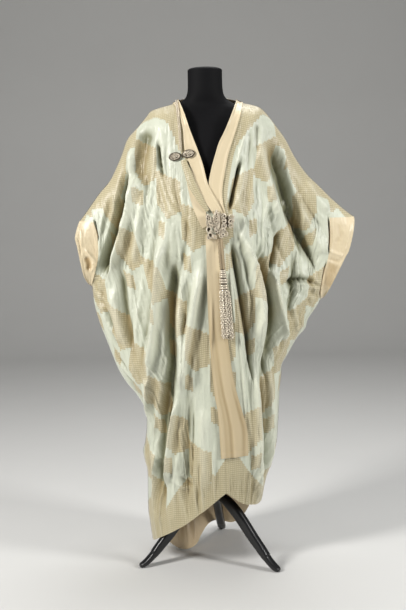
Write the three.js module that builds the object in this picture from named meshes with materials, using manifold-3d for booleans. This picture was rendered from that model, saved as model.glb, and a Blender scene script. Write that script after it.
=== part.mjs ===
// Evening coat of patterned silk on a limbless dress form with a tripod stand.
// Millimetres, +Z up, front towards -Y. "right" and "left" are the wearer's, so right is -X.
import * as THREE from "three";
import { mergeVertices } from "three/addons/utils/BufferGeometryUtils.js";
import Module from "manifold-3d";

const wasm = await Module();
wasm.setup();

// ---------- driving dimensions ----------
const clothWall = 2.2;        // outer cloth with its lining
const seamGap = 0.3;          // clearance between two pieces that are sewn together
const trimGap = 0.6;          // clearance between a panel and what lies on it
const bandWall = 2.4;         // folded satin of the collar
const satinWall = 1.4;        // single satin: sash end, facing, lining
const foldFade = 26;          // a fold dies out this far from a closed outline
const seamReach = 1.8;        // clearance between a band and its panel, seen from the front
const outlineReach = 0.8;     // points this near a closed outline lie on it
const footRadius = 248;       // from the pole to the end of a foot
const firstFootAngle = 52.5;  // degrees from the front towards the left side
const poleRadius = 13;
const poleBottom = 176;
const torsoBottom = 815;

const colours = {
  silk: [0xc3c9ae, 0.5, 0.0], satin: [0xe0c99c, 0.35, 0.0], metalCord: [0x9a9282, 0.4, 0.7],
  form: [0x0b0b0c, 0.45, 0.0], stand: [0x080809, 0.25, 0.0],
};

// ---------- tables ----------
const rows = (columns, values) => values.map((line) =>
  Object.fromEntries(columns.split(" ").map((name, k) => [name, line[k]])));

// closed outline, seen from the front: each stretch is where front and back meet
const shoulderLeft = rows("x z", [[92, 1415], [107, 1409], [145, 1400], [164, 1392], [183, 1374],
  [211, 1337], [239, 1297], [266, 1245], [301, 1194], [337, 1158], [380, 1115], [420, 1080], [444, 1062]]);
const shoulderRight = rows("x z", [[-80, 1420], [-100, 1408], [-130, 1400], [-163, 1389], [-178, 1372],
  [-204, 1342], [-236, 1307], [-255, 1260], [-273, 1221], [-293, 1184], [-324, 1149], [-352, 1112],
  [-372, 1085], [-388, 1065]]);
const sideLeft = rows("x z", [[350, 817], [341, 811], [331, 792], [303, 750], [294, 722], [268, 692],
  [238, 640], [222, 612], [219, 577], [214, 536], [209, 450], [204, 377], [192, 316], [170, 255],
  [155, 184]]);
const sideRight = rows("x z", [[-366, 871], [-358, 866], [-355, 846], [-352, 813], [-340, 760], [-314, 686],
  [-287, 612], [-263, 568], [-230, 526], [-207, 482], [-201, 433], [-207, 378], [-215, 346], [-210, 312],
  [-203, 275], [-204, 161], [-200, 119], [-193, 60]]);

// sleeve mouths: where the cuff is sewn on, and its free edge
const cuffSeamLeft = rows("x z", [[366, 1062], [368, 996], [361, 942], [347, 894], [338, 846], [341, 811]]);
const cuffEdgeLeft = rows("x z", [[444, 1062], [440, 1028], [426, 967], [413, 941], [382, 880], [350, 817]]);
const cuffSeamRight = rows("x z", [[-344, 1066], [-336, 1039], [-331, 1008], [-330, 975], [-334, 942],
  [-345, 903], [-358, 866]]);
const cuffEdgeRight = rows("x z", [[-388, 1065], [-394, 1044], [-400, 1016], [-395, 990], [-389, 957],
  [-383, 924], [-378, 899], [-366, 871]]);

// collar bands: the edge at the neck opening, and the fold line where the panel begins, from the shoulder
// down to the clasp, which hides their ends; then the line where the fronts meet, and the back's neckline
const collarEdgeLeft = rows("x z", [[78, 1379], [55, 1326], [37, 1291], [27, 1262], [12, 1211], [4, 1162],
  [13, 1112], [26, 1074], [24, 1042], [25, 1016]]);
const collarFoldLeft = rows("x z", [[104, 1378], [87, 1325], [72, 1282], [63, 1255], [54, 1215], [43, 1153],
  [45, 1112], [52, 1074], [40, 1042], [31, 1016]]);
const collarEdgeRight = rows("x z", [[-72, 1402], [-60, 1370], [-46, 1326], [-25, 1269], [-11, 1226],
  [3, 1168], [25, 1125], [43, 1086], [47, 1058]]);
const collarFoldRight = rows("x z", [[-88, 1396], [-76, 1370], [-67, 1328], [-63, 1270], [-49, 1226],
  [-34, 1169], [-12, 1125], [15, 1084], [19, 1058]]);
const meetingLine = rows("x z", [[26, 1010], [31, 834], [36, 596], [38, 415], [40, 246]]);
const backNeckline = rows("x z", [[-62, 1425], [-34, 1429], [4, 1431], [46, 1428], [76, 1421]]);
const backFoldLine = rows("x z", [[-90, 1396], [-44, 1388], [4, 1387], [52, 1388], [100, 1396]]);
const neckAt = { left: 92.5, right: -80.5 };
const foldAt = { left: 112, right: -97 };

const hemRight = rows("x z", [[10, 224], [-11, 207], [-44, 182], [-87, 147], [-131, 115],
  [-166, 88], [-193, 60]]);
const hemLeft = rows("x z", [[62, 227], [84, 208], [105, 196], [128, 189], [155, 184]]);
const hemBack = rows("x z", [[-193, 60], [-177, 33], [-146, 17], [-112, 6], [-62, 5], [-44, 24],
  [-22, 40], [4, 38], [34, 31], [60, 25], [84, 34], [104, 58], [120, 94], [136, 148], [155, 184]]);

// depth of the coat from its side seams to its front and back, and how it narrows to the sleeves
const depths = rows("z front back fallOff roll", [
  [1450, 44, 46, 300, 85], [1425, 70, 60, 290, 85], [1390, 88, 76, 270, 85], [1360, 94, 84, 250, 84],
  [1320, 99, 92, 235, 80], [1270, 107, 98, 225, 75], [1220, 116, 100, 215, 70], [1160, 129, 98, 210, 64],
  [1080, 148, 98, 210, 60], [1000, 151, 106, 220, 62], [900, 152, 118, 240, 76], [800, 152, 132, 270, 105],
  [700, 153, 144, 330, 150], [600, 153, 156, 440, 195], [450, 153, 172, 620, 205], [300, 152, 192, 700, 205],
  [150, 149, 216, 700, 205], [60, 146, 231, 700, 205], [0, 144, 238, 700, 205]]);
const sleeveDepth = { front: 33, back: 31 };
// the tail of the back swings forward under the right side before it reaches the floor
const tail = { x: -92, reach: 120, top: 330, pull: 0.77 };

// folds, each a curve through three points; deep is outwards, crisp 1 is a pressed crease
const foldColumns = "x1 z1 x2 z2 x3 z3 wide deep crisp";
const foldsRight = rows(foldColumns, [
  [-170, 1345, -192, 1260, -211, 1165, 36, -22, 0], [-141, 1292, -139, 1252, -136, 1208, 16, -7, 0.8],
  [-214, 1290, -236, 1186, -266, 1050, 20, 17, 0.4], [-232, 1235, -268, 1060, -330, 890, 26, -44, 0.4],
  [-204, 1235, -238, 1065, -300, 895, 30, 32, 0.3], [-188, 1150, -204, 1034, -224, 925, 26, 17, 0.2],
  [-128, 1050, -156, 820, -188, 590, 28, 35, 0.6], [-188, 610, -190, 520, -197, 430, 24, 20, 0.3],
  [-92, 935, -117, 790, -103, 640, 36, -41, 0.2], [-110, 655, -146, 450, -168, 190, 36, -44, 0.1],
  [-24, 945, -62, 745, -98, 550, 26, 25, 0.6], [-98, 555, -124, 400, -140, 250, 24, 26, 0.7],
  [-82, 830, -88, 700, -80, 560, 26, 13, 0], [-60, 560, -72, 420, -78, 200, 40, -17, 0],
  [-20, 520, -22, 400, -30, 230, 36, 12, 0], [-262, 900, -250, 800, -232, 660, 34, -20, 0.1],
  [-300, 870, -280, 780, -262, 690, 26, 14, 0.2]]);
const foldsLeft = rows(foldColumns, [
  [99, 1240, 82, 1166, 62, 1085, 16, -14, 0.7], [188, 1312, 236, 1120, 322, 915, 42, -29, 0],
  [160, 1300, 184, 1170, 220, 1050, 30, 17, 0.2], [212, 1035, 196, 970, 180, 905, 18, -12, 0.6],
  [92, 1035, 148, 880, 146, 680, 30, 26, 0.3], [118, 1000, 190, 815, 150, 585, 34, -32, 0.2],
  [184, 918, 212, 800, 222, 684, 24, 20, 0.4], [228, 868, 278, 880, 326, 856, 18, -17, 0.4],
  [266, 724, 288, 710, 304, 690, 16, -12, 0.3], [66, 1010, 94, 838, 126, 590, 18, -20, 0.6],
  [124, 640, 140, 430, 136, 180, 26, 20, 0.3], [151, 1350, 150, 1305, 148, 1260, 14, -7, 0.8],
  [176, 620, 180, 430, 166, 250, 24, 14, 0.2], [154, 560, 160, 400, 150, 200, 24, -22, 0.2],
  [268, 1100, 318, 1010, 346, 950, 32, 13, 0.1],
  [256, 950, 250, 850, 232, 760, 26, -16, 0.2], [300, 1180, 330, 1120, 366, 1080, 26, 10, 0.2]]);
const foldsBack = rows(foldColumns, [
  [-165, 1340, -210, 1130, -310, 905, 42, -26, 0.1], [170, 1335, 226, 1120, 318, 905, 42, -26, 0.1],
  [-120, 1320, -150, 1120, -210, 880, 34, 17, 0.2], [126, 1310, 160, 1110, 220, 890, 34, 17, 0.2],
  [-60, 1240, -92, 900, -110, 560, 36, -20, 0.1], [64, 1230, 100, 900, 104, 520, 36, -20, 0.1],
  [0, 1180, -8, 800, 6, 300, 40, 19, 0.1], [-150, 900, -150, 650, -160, 380, 30, 26, 0.3],
  [150, 880, 158, 640, 160, 360, 30, 26, 0.3], [-50, 700, -48, 480, -30, 60, 34, 20, 0.2],
  [52, 700, 60, 450, 62, 50, 34, -22, 0.2], [96, 620, 112, 420, 116, 120, 28, 19, 0.3],
  [-108, 560, -120, 420, -118, 200, 30, -17, 0.1], [-270, 880, -250, 760, -226, 610, 32, -19, 0.1],
  [282, 860, 256, 760, 226, 640, 30, -19, 0.1]]);

// ---------- surface of the coat ----------
const spline = (points) => new THREE.SplineCurve(points.map((p) => new THREE.Vector2(p.x, p.z)));

// smooth curve through a table's values in one column, against z
function column(table, name) {
  const list = [...table].sort((a, b) => a.z - b.z);
  const slope = (k) => {
    const a = list[Math.max(k - 1, 0)];
    const b = list[Math.min(k + 1, list.length - 1)];
    return (b[name] - a[name]) / (b.z - a.z);
  };
  return (z) => {
    const at = THREE.MathUtils.clamp(z, list[0].z, list[list.length - 1].z);
    let k = 0;
    while (k < list.length - 2 && at > list[k + 1].z) k++;
    const span = list[k + 1].z - list[k].z;
    const t = (at - list[k].z) / span;
    const rise = t * t * (3 - 2 * t);
    return list[k][name] * (1 - rise) + list[k + 1][name] * rise
      + span * (slope(k) * t * (1 - t) * (1 - t) - slope(k + 1) * t * t * (1 - t));
  };
}

const frontDepth = column(depths, "front");
const backDepth = column(depths, "back");
const fallOff = column(depths, "fallOff");
const rollRadius = column(depths, "roll");
const outline = [shoulderLeft, shoulderRight, sideLeft, sideRight].map((stretch) =>
  spline(stretch).getPoints(5 * stretch.length));

// nearest point of the closed outline: how far it is, and the way out to it
function nearestOutline(x, z) {
  let best = { distance: Infinity };
  for (const stretch of outline) {
    for (let k = 0; k + 1 < stretch.length; k++) {
      const a = stretch[k];
      const b = stretch[k + 1];
      const dx = b.x - a.x;
      const dz = b.y - a.y;
      const t = THREE.MathUtils.clamp(((x - a.x) * dx + (z - a.y) * dz) / (dx * dx + dz * dz), 0, 1);
      const ox = a.x + t * dx - x;
      const oz = a.y + t * dz - z;
      const distance = Math.hypot(ox, oz);
      if (distance < best.distance - 1e-6) {
        const sideways = Math.hypot(dx, dz);
        const flip = Math.sign(a.x) || 1;
        best = { distance, ox, oz, nx: (-dz / sideways) * flip, nz: (dx / sideways) * flip };
      }
    }
  }
  const near = best.distance < outlineReach + 0.4;
  return {
    distance: Math.max(best.distance - outlineReach, 0),
    outX: near ? best.nx : best.ox / best.distance,
    outZ: near ? best.nz : best.oz / best.distance,
  };
}

const bump = (t) => (Math.abs(t) < 1 ? 0.5 + 0.5 * Math.cos(Math.PI * t) : 0);

// full depth before the cloth rolls over to its closed outline
function fullDepth(side, x, z) {
  const middle = side < 0 ? frontDepth(z) : backDepth(z);
  const thin = side < 0 ? sleeveDepth.front : sleeveDepth.back;
  const depth = thin + (middle - thin) * Math.exp(-((Math.abs(x) / fallOff(z)) ** 2.4));
  if (side < 0) return depth;
  const drop = THREE.MathUtils.smoothstep(tail.top - z, 0, tail.top);
  return depth * (1 - tail.pull * drop * bump((x - tail.x) / tail.reach));
}

const foldPaths = new Map();
function foldPath(fold) {
  if (!foldPaths.has(fold)) {
    const middle = new THREE.Vector2(2 * fold.x2 - (fold.x1 + fold.x3) / 2,
      2 * fold.z2 - (fold.z1 + fold.z3) / 2);
    const curve = new THREE.QuadraticBezierCurve(new THREE.Vector2(fold.x1, fold.z1), middle,
      new THREE.Vector2(fold.x3, fold.z3));
    foldPaths.set(fold, curve.getPoints(10));
  }
  return foldPaths.get(fold);
}

// how far one fold lifts or sinks the cloth at (x, z)
function foldHeight(fold, x, z) {
  const path = foldPath(fold);
  let nearest = Infinity;
  let along = 0;
  for (let k = 0; k + 1 < path.length; k++) {
    const a = path[k];
    const dx = path[k + 1].x - a.x;
    const dz = path[k + 1].y - a.y;
    const t = THREE.MathUtils.clamp(((x - a.x) * dx + (z - a.y) * dz) / (dx * dx + dz * dz), 0, 1);
    const distance = Math.hypot(a.x + t * dx - x, a.y + t * dz - z);
    if (distance < nearest) {
      nearest = distance;
      along = (k + t) / (path.length - 1);
    }
  }
  const across = nearest / fold.wide;
  if (across >= 1) return 0;
  const shape = THREE.MathUtils.lerp(bump(across), (1 - across) ** 2, fold.crisp);
  const taper = THREE.MathUtils.smoothstep(along, 0, 0.22) * THREE.MathUtils.smoothstep(1 - along, 0, 0.22);
  return fold.deep * shape * (0.12 + 0.88 * taper) * (along > 0 && along < 1 ? 1 : bump(across * 1.2));
}

// point of the coat at (x, z) on its front (side -1) or back (side 1), moved out by "out"
function coatPoint(side, x, z, out = 0, folds = side > 0 ? foldsBack : x < 28 ? foldsRight : foldsLeft) {
  const { distance, outX, outZ } = nearestOutline(x, z);
  const radius = rollRadius(z);
  const q = Math.min(distance / radius, 1);
  const roll = Math.sqrt(Math.max(1 - (1 - q) ** 2, 0));
  const depth = fullDepth(side, x, z);
  const step = 2;
  const slopeX = (fullDepth(side, x + step, z) - fullDepth(side, x - step, z)) / (2 * step);
  const slopeZ = (fullDepth(side, x, z + step) - fullDepth(side, x, z - step)) / (2 * step);
  const turn = Math.min((depth * (1 - q)) / (radius * Math.max(roll, 1e-3)), 400);
  const normal = new THREE.Vector3(turn * outX - slopeX * roll, side, turn * outZ - slopeZ * roll);
  if (distance < 0.05) normal.set(outX, 0, outZ);
  normal.normalize();
  const lift = folds.reduce((sum, fold) => sum + foldHeight(fold, x, z), 0)
    * THREE.MathUtils.smoothstep(distance, 0, foldFade);
  return new THREE.Vector3(x, side * (depth * roll + seamGap / 2), z).addScaledVector(normal, lift + out);
}

// ---------- solids ----------
// closed solid from faces that share vertices; turned the right way out
function closedBody(positions, faces) {
  let volume = 0;
  for (const [a, b, c] of faces) volume += positions[a].dot(positions[b].clone().cross(positions[c]));
  const turned = volume < 0 ? faces.map(([a, b, c]) => [a, c, b]) : faces;
  const geometry = new THREE.BufferGeometry();
  const values = positions.flatMap((p) => p.toArray());
  geometry.setAttribute("position", new THREE.Float32BufferAttribute(values, 3));
  geometry.setIndex(turned.flat());
  return geometry;
}

const quad = (a, b, c, d) => [[a, b, c], [a, c, d]];

// wall over a grid: pointAt(column, row, layer), layer 0 outside and 1 inside
function clothSheet(columns, rowCount, pointAt) {
  const positions = [];
  const faces = [];
  const width = columns + 1;
  const layerSize = width * (rowCount + 1);
  for (let layer = 0; layer < 2; layer++) {
    for (let r = 0; r <= rowCount; r++) {
      for (let c = 0; c <= columns; c++) positions.push(pointAt(c, r, layer));
    }
  }
  const id = (c, r, layer) => layer * layerSize + r * width + c;
  for (let r = 0; r < rowCount; r++) {
    for (let c = 0; c < columns; c++) {
      faces.push(...quad(id(c, r, 0), id(c + 1, r, 0), id(c + 1, r + 1, 0), id(c, r + 1, 0)));
      faces.push(...quad(id(c, r, 1), id(c, r + 1, 1), id(c + 1, r + 1, 1), id(c + 1, r, 1)));
    }
  }
  for (let c = 0; c < columns; c++) {
    faces.push(...quad(id(c, 0, 0), id(c, 0, 1), id(c + 1, 0, 1), id(c + 1, 0, 0)));
    faces.push(...quad(id(c, rowCount, 0), id(c + 1, rowCount, 0), id(c + 1, rowCount, 1),
      id(c, rowCount, 1)));
  }
  for (let r = 0; r < rowCount; r++) {
    faces.push(...quad(id(0, r, 0), id(0, r + 1, 0), id(0, r + 1, 1), id(0, r, 1)));
    faces.push(...quad(id(columns, r, 0), id(columns, r, 1), id(columns, r + 1, 1), id(columns, r + 1, 0)));
  }
  return closedBody(positions, faces);
}

// solid through rings of equal point count, closed by a fan at each end
function lofted(rings) {
  const count = rings[0].length;
  const centre = (ring) => ring.reduce((sum, p) => sum.add(p), new THREE.Vector3()).divideScalar(count);
  const positions = [...rings.flat(), centre(rings[0]), centre(rings[rings.length - 1])];
  const faces = [];
  for (let r = 0; r + 1 < rings.length; r++) {
    for (let k = 0; k < count; k++) {
      const next = (k + 1) % count;
      faces.push(...quad(r * count + k, r * count + next, (r + 1) * count + next, (r + 1) * count + k));
    }
  }
  const last = (rings.length - 1) * count;
  for (let k = 0; k < count; k++) {
    faces.push([positions.length - 2, (k + 1) % count, k]);
    faces.push([positions.length - 1, last + k, last + ((k + 1) % count)]);
  }
  return closedBody(positions, faces);
}

// tube of oval section along points: half width across, half height towards "up"
function tube(points, halfWidth, halfHeight, sides, up = new THREE.Vector3(0, -1, 0)) {
  const curve = points.length > 2 ? new THREE.CatmullRomCurve3(points) : new THREE.LineCurve3(...points);
  const rings = points.map((point, k) => {
    const along = curve.getTangent(points.length > 1 ? k / (points.length - 1) : 0);
    const across = new THREE.Vector3().crossVectors(along, up).normalize();
    const rise = new THREE.Vector3().crossVectors(across, along).normalize();
    const t = k / (points.length - 1);
    return Array.from({ length: sides }, (_, s) => {
      const angle = (2 * Math.PI * (s + 0.5)) / sides;
      return point.clone().addScaledVector(across, halfWidth(t) * Math.cos(angle))
        .addScaledVector(rise, halfHeight(t) * Math.sin(angle));
    });
  });
  return lofted(rings);
}

const always = (value) => () => value;

function toManifold(geometry) {
  const bare = geometry.clone();
  bare.deleteAttribute("normal");
  bare.deleteAttribute("uv");
  const merged = mergeVertices(bare, 1e-4);
  return new wasm.Manifold(new wasm.Mesh({
    numProp: 3,
    vertProperties: new Float32Array(merged.attributes.position.array),
    triVerts: new Uint32Array(merged.index.array),
  }));
}

function toGeometry(manifold) {
  const mesh = manifold.getMesh();
  const geometry = new THREE.BufferGeometry();
  geometry.setAttribute("position", new THREE.BufferAttribute(new Float32Array(mesh.vertProperties), 3));
  geometry.setIndex(new THREE.BufferAttribute(new Uint32Array(mesh.triVerts), 1));
  return geometry;
}

// one body out of several that overlap
const fused = (geometries) => toGeometry(geometries.map(toManifold).reduce((a, b) => a.add(b)));

const coat = new THREE.Group();
function addPiece(name, geometry, [colour, roughness, metalness]) {
  const material = new THREE.MeshStandardMaterial({ color: colour, roughness, metalness });
  const piece = new THREE.Mesh(geometry, material);
  piece.name = name;
  coat.add(piece);
}

// point of the shoulder line at x, so that bands and panels start just where front and back meet
const [outlineLeft, outlineRight] = outline.map((stretch) => stretch.map((p) => ({ x: p.x, z: p.y })));
function onShoulder(stretch, x) {
  const k = stretch.findIndex((p, i) => i > 0 && (p.x - x) * (stretch[i - 1].x - x) <= 0);
  const [a, b] = [stretch[k - 1], stretch[k]];
  return { x, z: THREE.MathUtils.mapLinear(x, a.x, b.x, a.z, b.z) };
}
const panelStart = { left: onShoulder(outlineLeft, foldAt.left + seamReach),
  right: onShoulder(outlineRight, foldAt.right - seamReach) };
const sleeveTopLeft = [panelStart.left, ...outlineLeft.filter((p) => p.x > foldAt.left + 4)];
const sleeveTopRight = [panelStart.right, ...outlineRight.filter((p) => p.x < foldAt.right - 4)];
const aside = (table, x, z = 0) => table.map((p) => ({ x: p.x + x, z: p.z + z }));

// ---------- panels ----------
// a patch between four edges, each a function of 0..1 that gives a THREE.Vector2 (x, z)
function patch(top, bottom, start, end) {
  const corner = [top(0), top(1), bottom(0), bottom(1)];
  return (u, v) => {
    const point = top(u).clone().multiplyScalar(1 - v).addScaledVector(bottom(u), v)
      .addScaledVector(start(v), 1 - u).addScaledVector(end(v), u);
    return point.addScaledVector(corner[0], -(1 - u) * (1 - v)).addScaledVector(corner[1], -u * (1 - v))
      .addScaledVector(corner[2], -(1 - u) * v).addScaledVector(corner[3], -u * v);
  };
}

// edge of one smooth curve, or of several that meet at corners placed at the given stops
function edge(stretches, stops = [0, 1]) {
  const curves = stretches.map(spline);
  return (t) => {
    let k = 0;
    while (k < curves.length - 1 && t > stops[k + 1]) k++;
    const part = THREE.MathUtils.clamp((t - stops[k]) / (stops[k + 1] - stops[k]), 0, 1);
    return curves[k].getPointAt(part);
  };
}

const cuffTopStop = 0.055;
const cuffFootStop = 0.33;
const sideStops = [0, cuffTopStop, cuffFootStop, 1];
const ends = (table) => [table[0], table[table.length - 1]];

function sideEdge(cuffEdge, cuffSeam, side) {
  const underTip = [ends(cuffEdge)[0], ends(cuffSeam)[0]];
  return edge([underTip, cuffSeam, side.slice(1)], sideStops);
}

// rows close together over the shoulder, then even down each stretch of the side edge
const panelRows = [0, 0.003, 0.012, 0.03, cuffTopStop];
const cuffRows = 7;
const skirtRows = 14;
const { lerp } = THREE.MathUtils;
for (let k = 1; k <= cuffRows; k++) panelRows.push(lerp(cuffTopStop, cuffFootStop, k / cuffRows));
for (let k = 1; k <= skirtRows; k++) panelRows.push(lerp(cuffFootStop, 1, k / skirtRows));

// columns close together towards the side edges, and on the back also beside the shoulder ends of the neck
const frontColumns = 20;
const sleeveColumns = 10;
const neckStops = [0.42, 0.58];
const crowdToEnd = (t) => 1 - (1 - t) ** 1.5;
const frontStops = Array.from({ length: frontColumns + 1 }, (_, c) => crowdToEnd(c / frontColumns));
const crowdToBoth = (t) => (t ** 1.5 + crowdToEnd(t)) / 2;
const sleeveStops = Array.from({ length: sleeveColumns },
  (_, c) => neckStops[0] * crowdToBoth(c / sleeveColumns));
const stopsBetween = [0.4235, 0.431, 0.447, 0.472, 0.5, 0.528, 0.553, 0.569, 0.5765];
const backStops = [...sleeveStops, neckStops[0], ...stopsBetween, neckStops[1],
  ...sleeveStops.map((stop) => 1 - stop).reverse()];

function panel(side, shape, stops, folds) {
  return clothSheet(stops.length - 1, panelRows.length - 1, (c, r, layer) => {
    const at = shape(stops[c], panelRows[r]);
    return coatPoint(side, at.x, at.y, -clothWall * layer, folds);
  });
}

const sideEdgeRight = sideEdge(cuffEdgeRight, cuffSeamRight, sideRight);
const sideEdgeLeft = sideEdge(cuffEdgeLeft, cuffSeamLeft, sideLeft);
const meetingStop = 0.36;
function frontEdge(start, fold, x) {
  const below = aside(meetingLine, Math.sign(x) * seamGap);
  return edge([[start, ...aside(fold, x), below[0]], below], [0, meetingStop, 1]);
}
const bottomRight = [...aside(meetingLine.slice(-1), -seamGap), ...hemRight];
const bottomLeft = [...aside(meetingLine.slice(-1), seamGap), ...hemLeft];
const shapeRight = patch(edge([sleeveTopRight]), edge([bottomRight]),
  frontEdge(panelStart.right, collarFoldRight, -seamReach), sideEdgeRight);
const shapeLeft = patch(edge([sleeveTopLeft]), edge([bottomLeft]),
  frontEdge(panelStart.left, collarFoldLeft, seamReach), sideEdgeLeft);
const foldOfBack = [panelStart.right, ...aside(backFoldLine, 0, -1.5 * seamReach), panelStart.left];
const topOfBack = edge([[...sleeveTopRight].reverse(), foldOfBack, sleeveTopLeft], [0, ...neckStops, 1]);
const shapeBack = patch(topOfBack, edge([hemBack]), sideEdgeRight, sideEdgeLeft);
addPiece("coat_front_right", panel(-1, shapeRight, frontStops, foldsRight), colours.silk);
addPiece("coat_front_left", panel(-1, shapeLeft, frontStops, foldsLeft), colours.silk);
addPiece("coat_back", panel(1, shapeBack, backStops, foldsBack), colours.silk);

// satin lining inside the back, where the hem shows it
const liningRows = 5;
const liningMargin = 2;       // grid columns left bare beside each side seam
const liningColumns = backStops.length - 1 - 2 * liningMargin;
addPiece("lining_back_hem", clothSheet(liningColumns, liningRows, (c, r, layer) => {
  const row = panelRows.length - 1 - liningRows + r;
  const at = shapeBack(backStops[c + liningMargin], panelRows[row]);
  return coatPoint(1, at.x, at.y, -clothWall - trimGap - satinWall * layer);
}), colours.satin);

// ---------- cuffs ----------
// a band from the front of the sleeve mouth, round its foot and up the back
const cuffColumns = 4;
function cuff(seam, free) {
  const seamCurve = spline(seam);
  const freeCurve = spline(free);
  const rowCount = 2 * cuffRows + 1;
  return clothSheet(cuffColumns, rowCount, (c, r, layer) => {
    const front = r <= cuffRows;
    const down = (front ? r : rowCount - r) / cuffRows;
    const across = c / cuffColumns;
    const at = seamCurve.getPointAt(down).lerp(freeCurve.getPointAt(down), across);
    const outward = Math.sign(at.x) * seamReach * 0.6 * (1 - across);
    const lower = (1 + 1.8 * across) * (1 - down);
    return coatPoint(front ? -1 : 1, at.x + outward, at.y - lower + 1.2 * down, -clothWall * layer);
  });
}
addPiece("cuff_right", cuff(cuffSeamRight, cuffEdgeRight), colours.satin);
addPiece("cuff_left", cuff(cuffSeamLeft, cuffEdgeLeft), colours.satin);

// ---------- trims that lie on the panels ----------
// a strip between two lines of the front or back, lifted by "under" and "wall" thick
function strip(side, first, second, across, along, under, wall, crowd = (t) => t) {
  const a = spline(first);
  const b = spline(second);
  return clothSheet(across, along, (c, r, layer) => {
    const t = crowd(r / along);
    const at = a.getPointAt(t).lerp(b.getPointAt(t), c / across);
    return coatPoint(side, at.x, at.y, under(t) + (layer ? 0 : wall));
  });
}

const neckLeft = onShoulder(outlineLeft, neckAt.left);
const neckRight = onShoulder(outlineRight, neckAt.right);
const bandLeft = onShoulder(outlineLeft, foldAt.left);
const bandRight = onShoulder(outlineRight, foldAt.right);
const crowdToNeck = (t) => t ** 1.8;
const crowdToNecks = (t) => (t < 0.5 ? 0.5 * (2 * t) ** 1.8 : 1 - 0.5 * (2 - 2 * t) ** 1.8);
const bandUnder = -0.6;       // the bands stand a little proud of the panels beside them
const overlapStart = 0.49;
const overLeftBand = (t) => bandUnder
  + 3.2 * THREE.MathUtils.smoothstep(t, overlapStart, overlapStart + 0.15);
const bandColumns = 3;
const bandRows = 20;
function band(side, edgeLine, foldLine, under, crowd) {
  return strip(side, edgeLine, foldLine, bandColumns, bandRows, under, bandWall, crowd);
}
addPiece("collar_left", band(-1, [neckLeft, ...collarEdgeLeft], [bandLeft, ...collarFoldLeft],
  always(bandUnder), crowdToNeck), colours.satin);
addPiece("collar_right", band(-1, [neckRight, ...collarEdgeRight], [bandRight, ...collarFoldRight],
  overLeftBand, crowdToNeck), colours.satin);
addPiece("collar_back", band(1, [neckRight, ...backNeckline, neckLeft],
  [bandRight, ...backFoldLine, bandLeft], always(bandUnder), crowdToNecks), colours.satin);

const sashUnder = 2.4;
const sashLeftLine = rows("x z", [[-8, 1004], [-6, 925], [-5, 807], [1, 659], [10, 554], [19, 490],
  [25, 359]]);
const sashRightLine = rows("x z", [[34, 1004], [33, 960], [38, 865], [58, 657], [71, 573], [92, 489],
  [104, 437], [105, 361]]);
addPiece("sash_end", strip(-1, sashLeftLine, sashRightLine, 5, 19, always(sashUnder), satinWall),
  colours.satin);

// the right front's edge rolls over above the clasp and shows its satin facing below the roll
const rollLine = rows("x z", [[-66, 1240], [-58, 1204], [-47, 1168], [-25, 1124], [-4, 1090]]);
const rollRadiusAt = (t) => 2.2 + 3.2 * Math.sin(Math.PI * Math.min(0.15 + 0.8 * t, 1));
const rollSteps = 10;
const rollUnder = 3.4;
const rollPoints = Array.from({ length: rollSteps + 1 }, (_, k) => {
  const at = spline(rollLine).getPointAt(k / rollSteps);
  return coatPoint(-1, at.x, at.y, rollUnder + rollRadiusAt(k / rollSteps));
});
addPiece("lapel_roll", tube(rollPoints, rollRadiusAt, rollRadiusAt, 8), colours.silk);
const facingUnder = 1.4;
const facingOuter = rows("x z", [[-60, 1186], [-52, 1140], [-40, 1098], [-24, 1054]]);
const facingInner = rows("x z", [[-55, 1186], [-43, 1158], [-25, 1124], [-6, 1092], [2, 1066]]);
addPiece("lapel_facing", strip(-1, facingOuter, facingInner, 2, 8, always(facingUnder), satinWall),
  colours.satin);

// ---------- clasp of metal cord ----------
const claspOut = 11.6;
function ringOfCord(x, z, radiusX, radiusZ, cord) {
  const centre = coatPoint(-1, x, z, claspOut, []);
  const ring = new THREE.TorusGeometry(1, cord / Math.min(radiusX, radiusZ), 4, 12);
  ring.rotateX(Math.PI / 2).scale(radiusX, Math.min(radiusX, radiusZ), radiusZ);
  return ring.translate(centre.x, centre.y, centre.z);
}
function knotOfCord(x, z, radius) {
  const centre = coatPoint(-1, x, z, claspOut, []);
  return new THREE.SphereGeometry(radius, 8, 6).scale(1, 0.6, 1).translate(centre.x, centre.y, centre.z);
}
const claspLoops = rows("x z", [[2, 1072], [6, 1056], [2, 1040], [6, 1024]]);
const claspKnots = rows("x z radius", [[44, 1078, 9], [45, 1064, 8.5], [45, 1050, 9], [43, 1036, 8.5],
  [41, 1024, 8]]);
addPiece("clasp_loops", fused(claspLoops.map(({ x, z }) => ringOfCord(x, z, 6, 9, 2.2))), colours.metalCord);
addPiece("clasp_tab", fused([ringOfCord(24, 1064, 8.5, 27, 2.4), knotOfCord(24, 1038, 8),
  knotOfCord(24, 1090, 4)]), colours.metalCord);
addPiece("clasp_knots", fused(claspKnots.map(({ x, z, radius }) => knotOfCord(x, z, radius))),
  colours.metalCord);
addPiece("clasp_button", fused([knotOfCord(64, 1062, 8.5), ringOfCord(63, 1074, 7, 7, 2.2),
  ringOfCord(63, 1050, 6, 7, 2.2)]), colours.metalCord);

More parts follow.
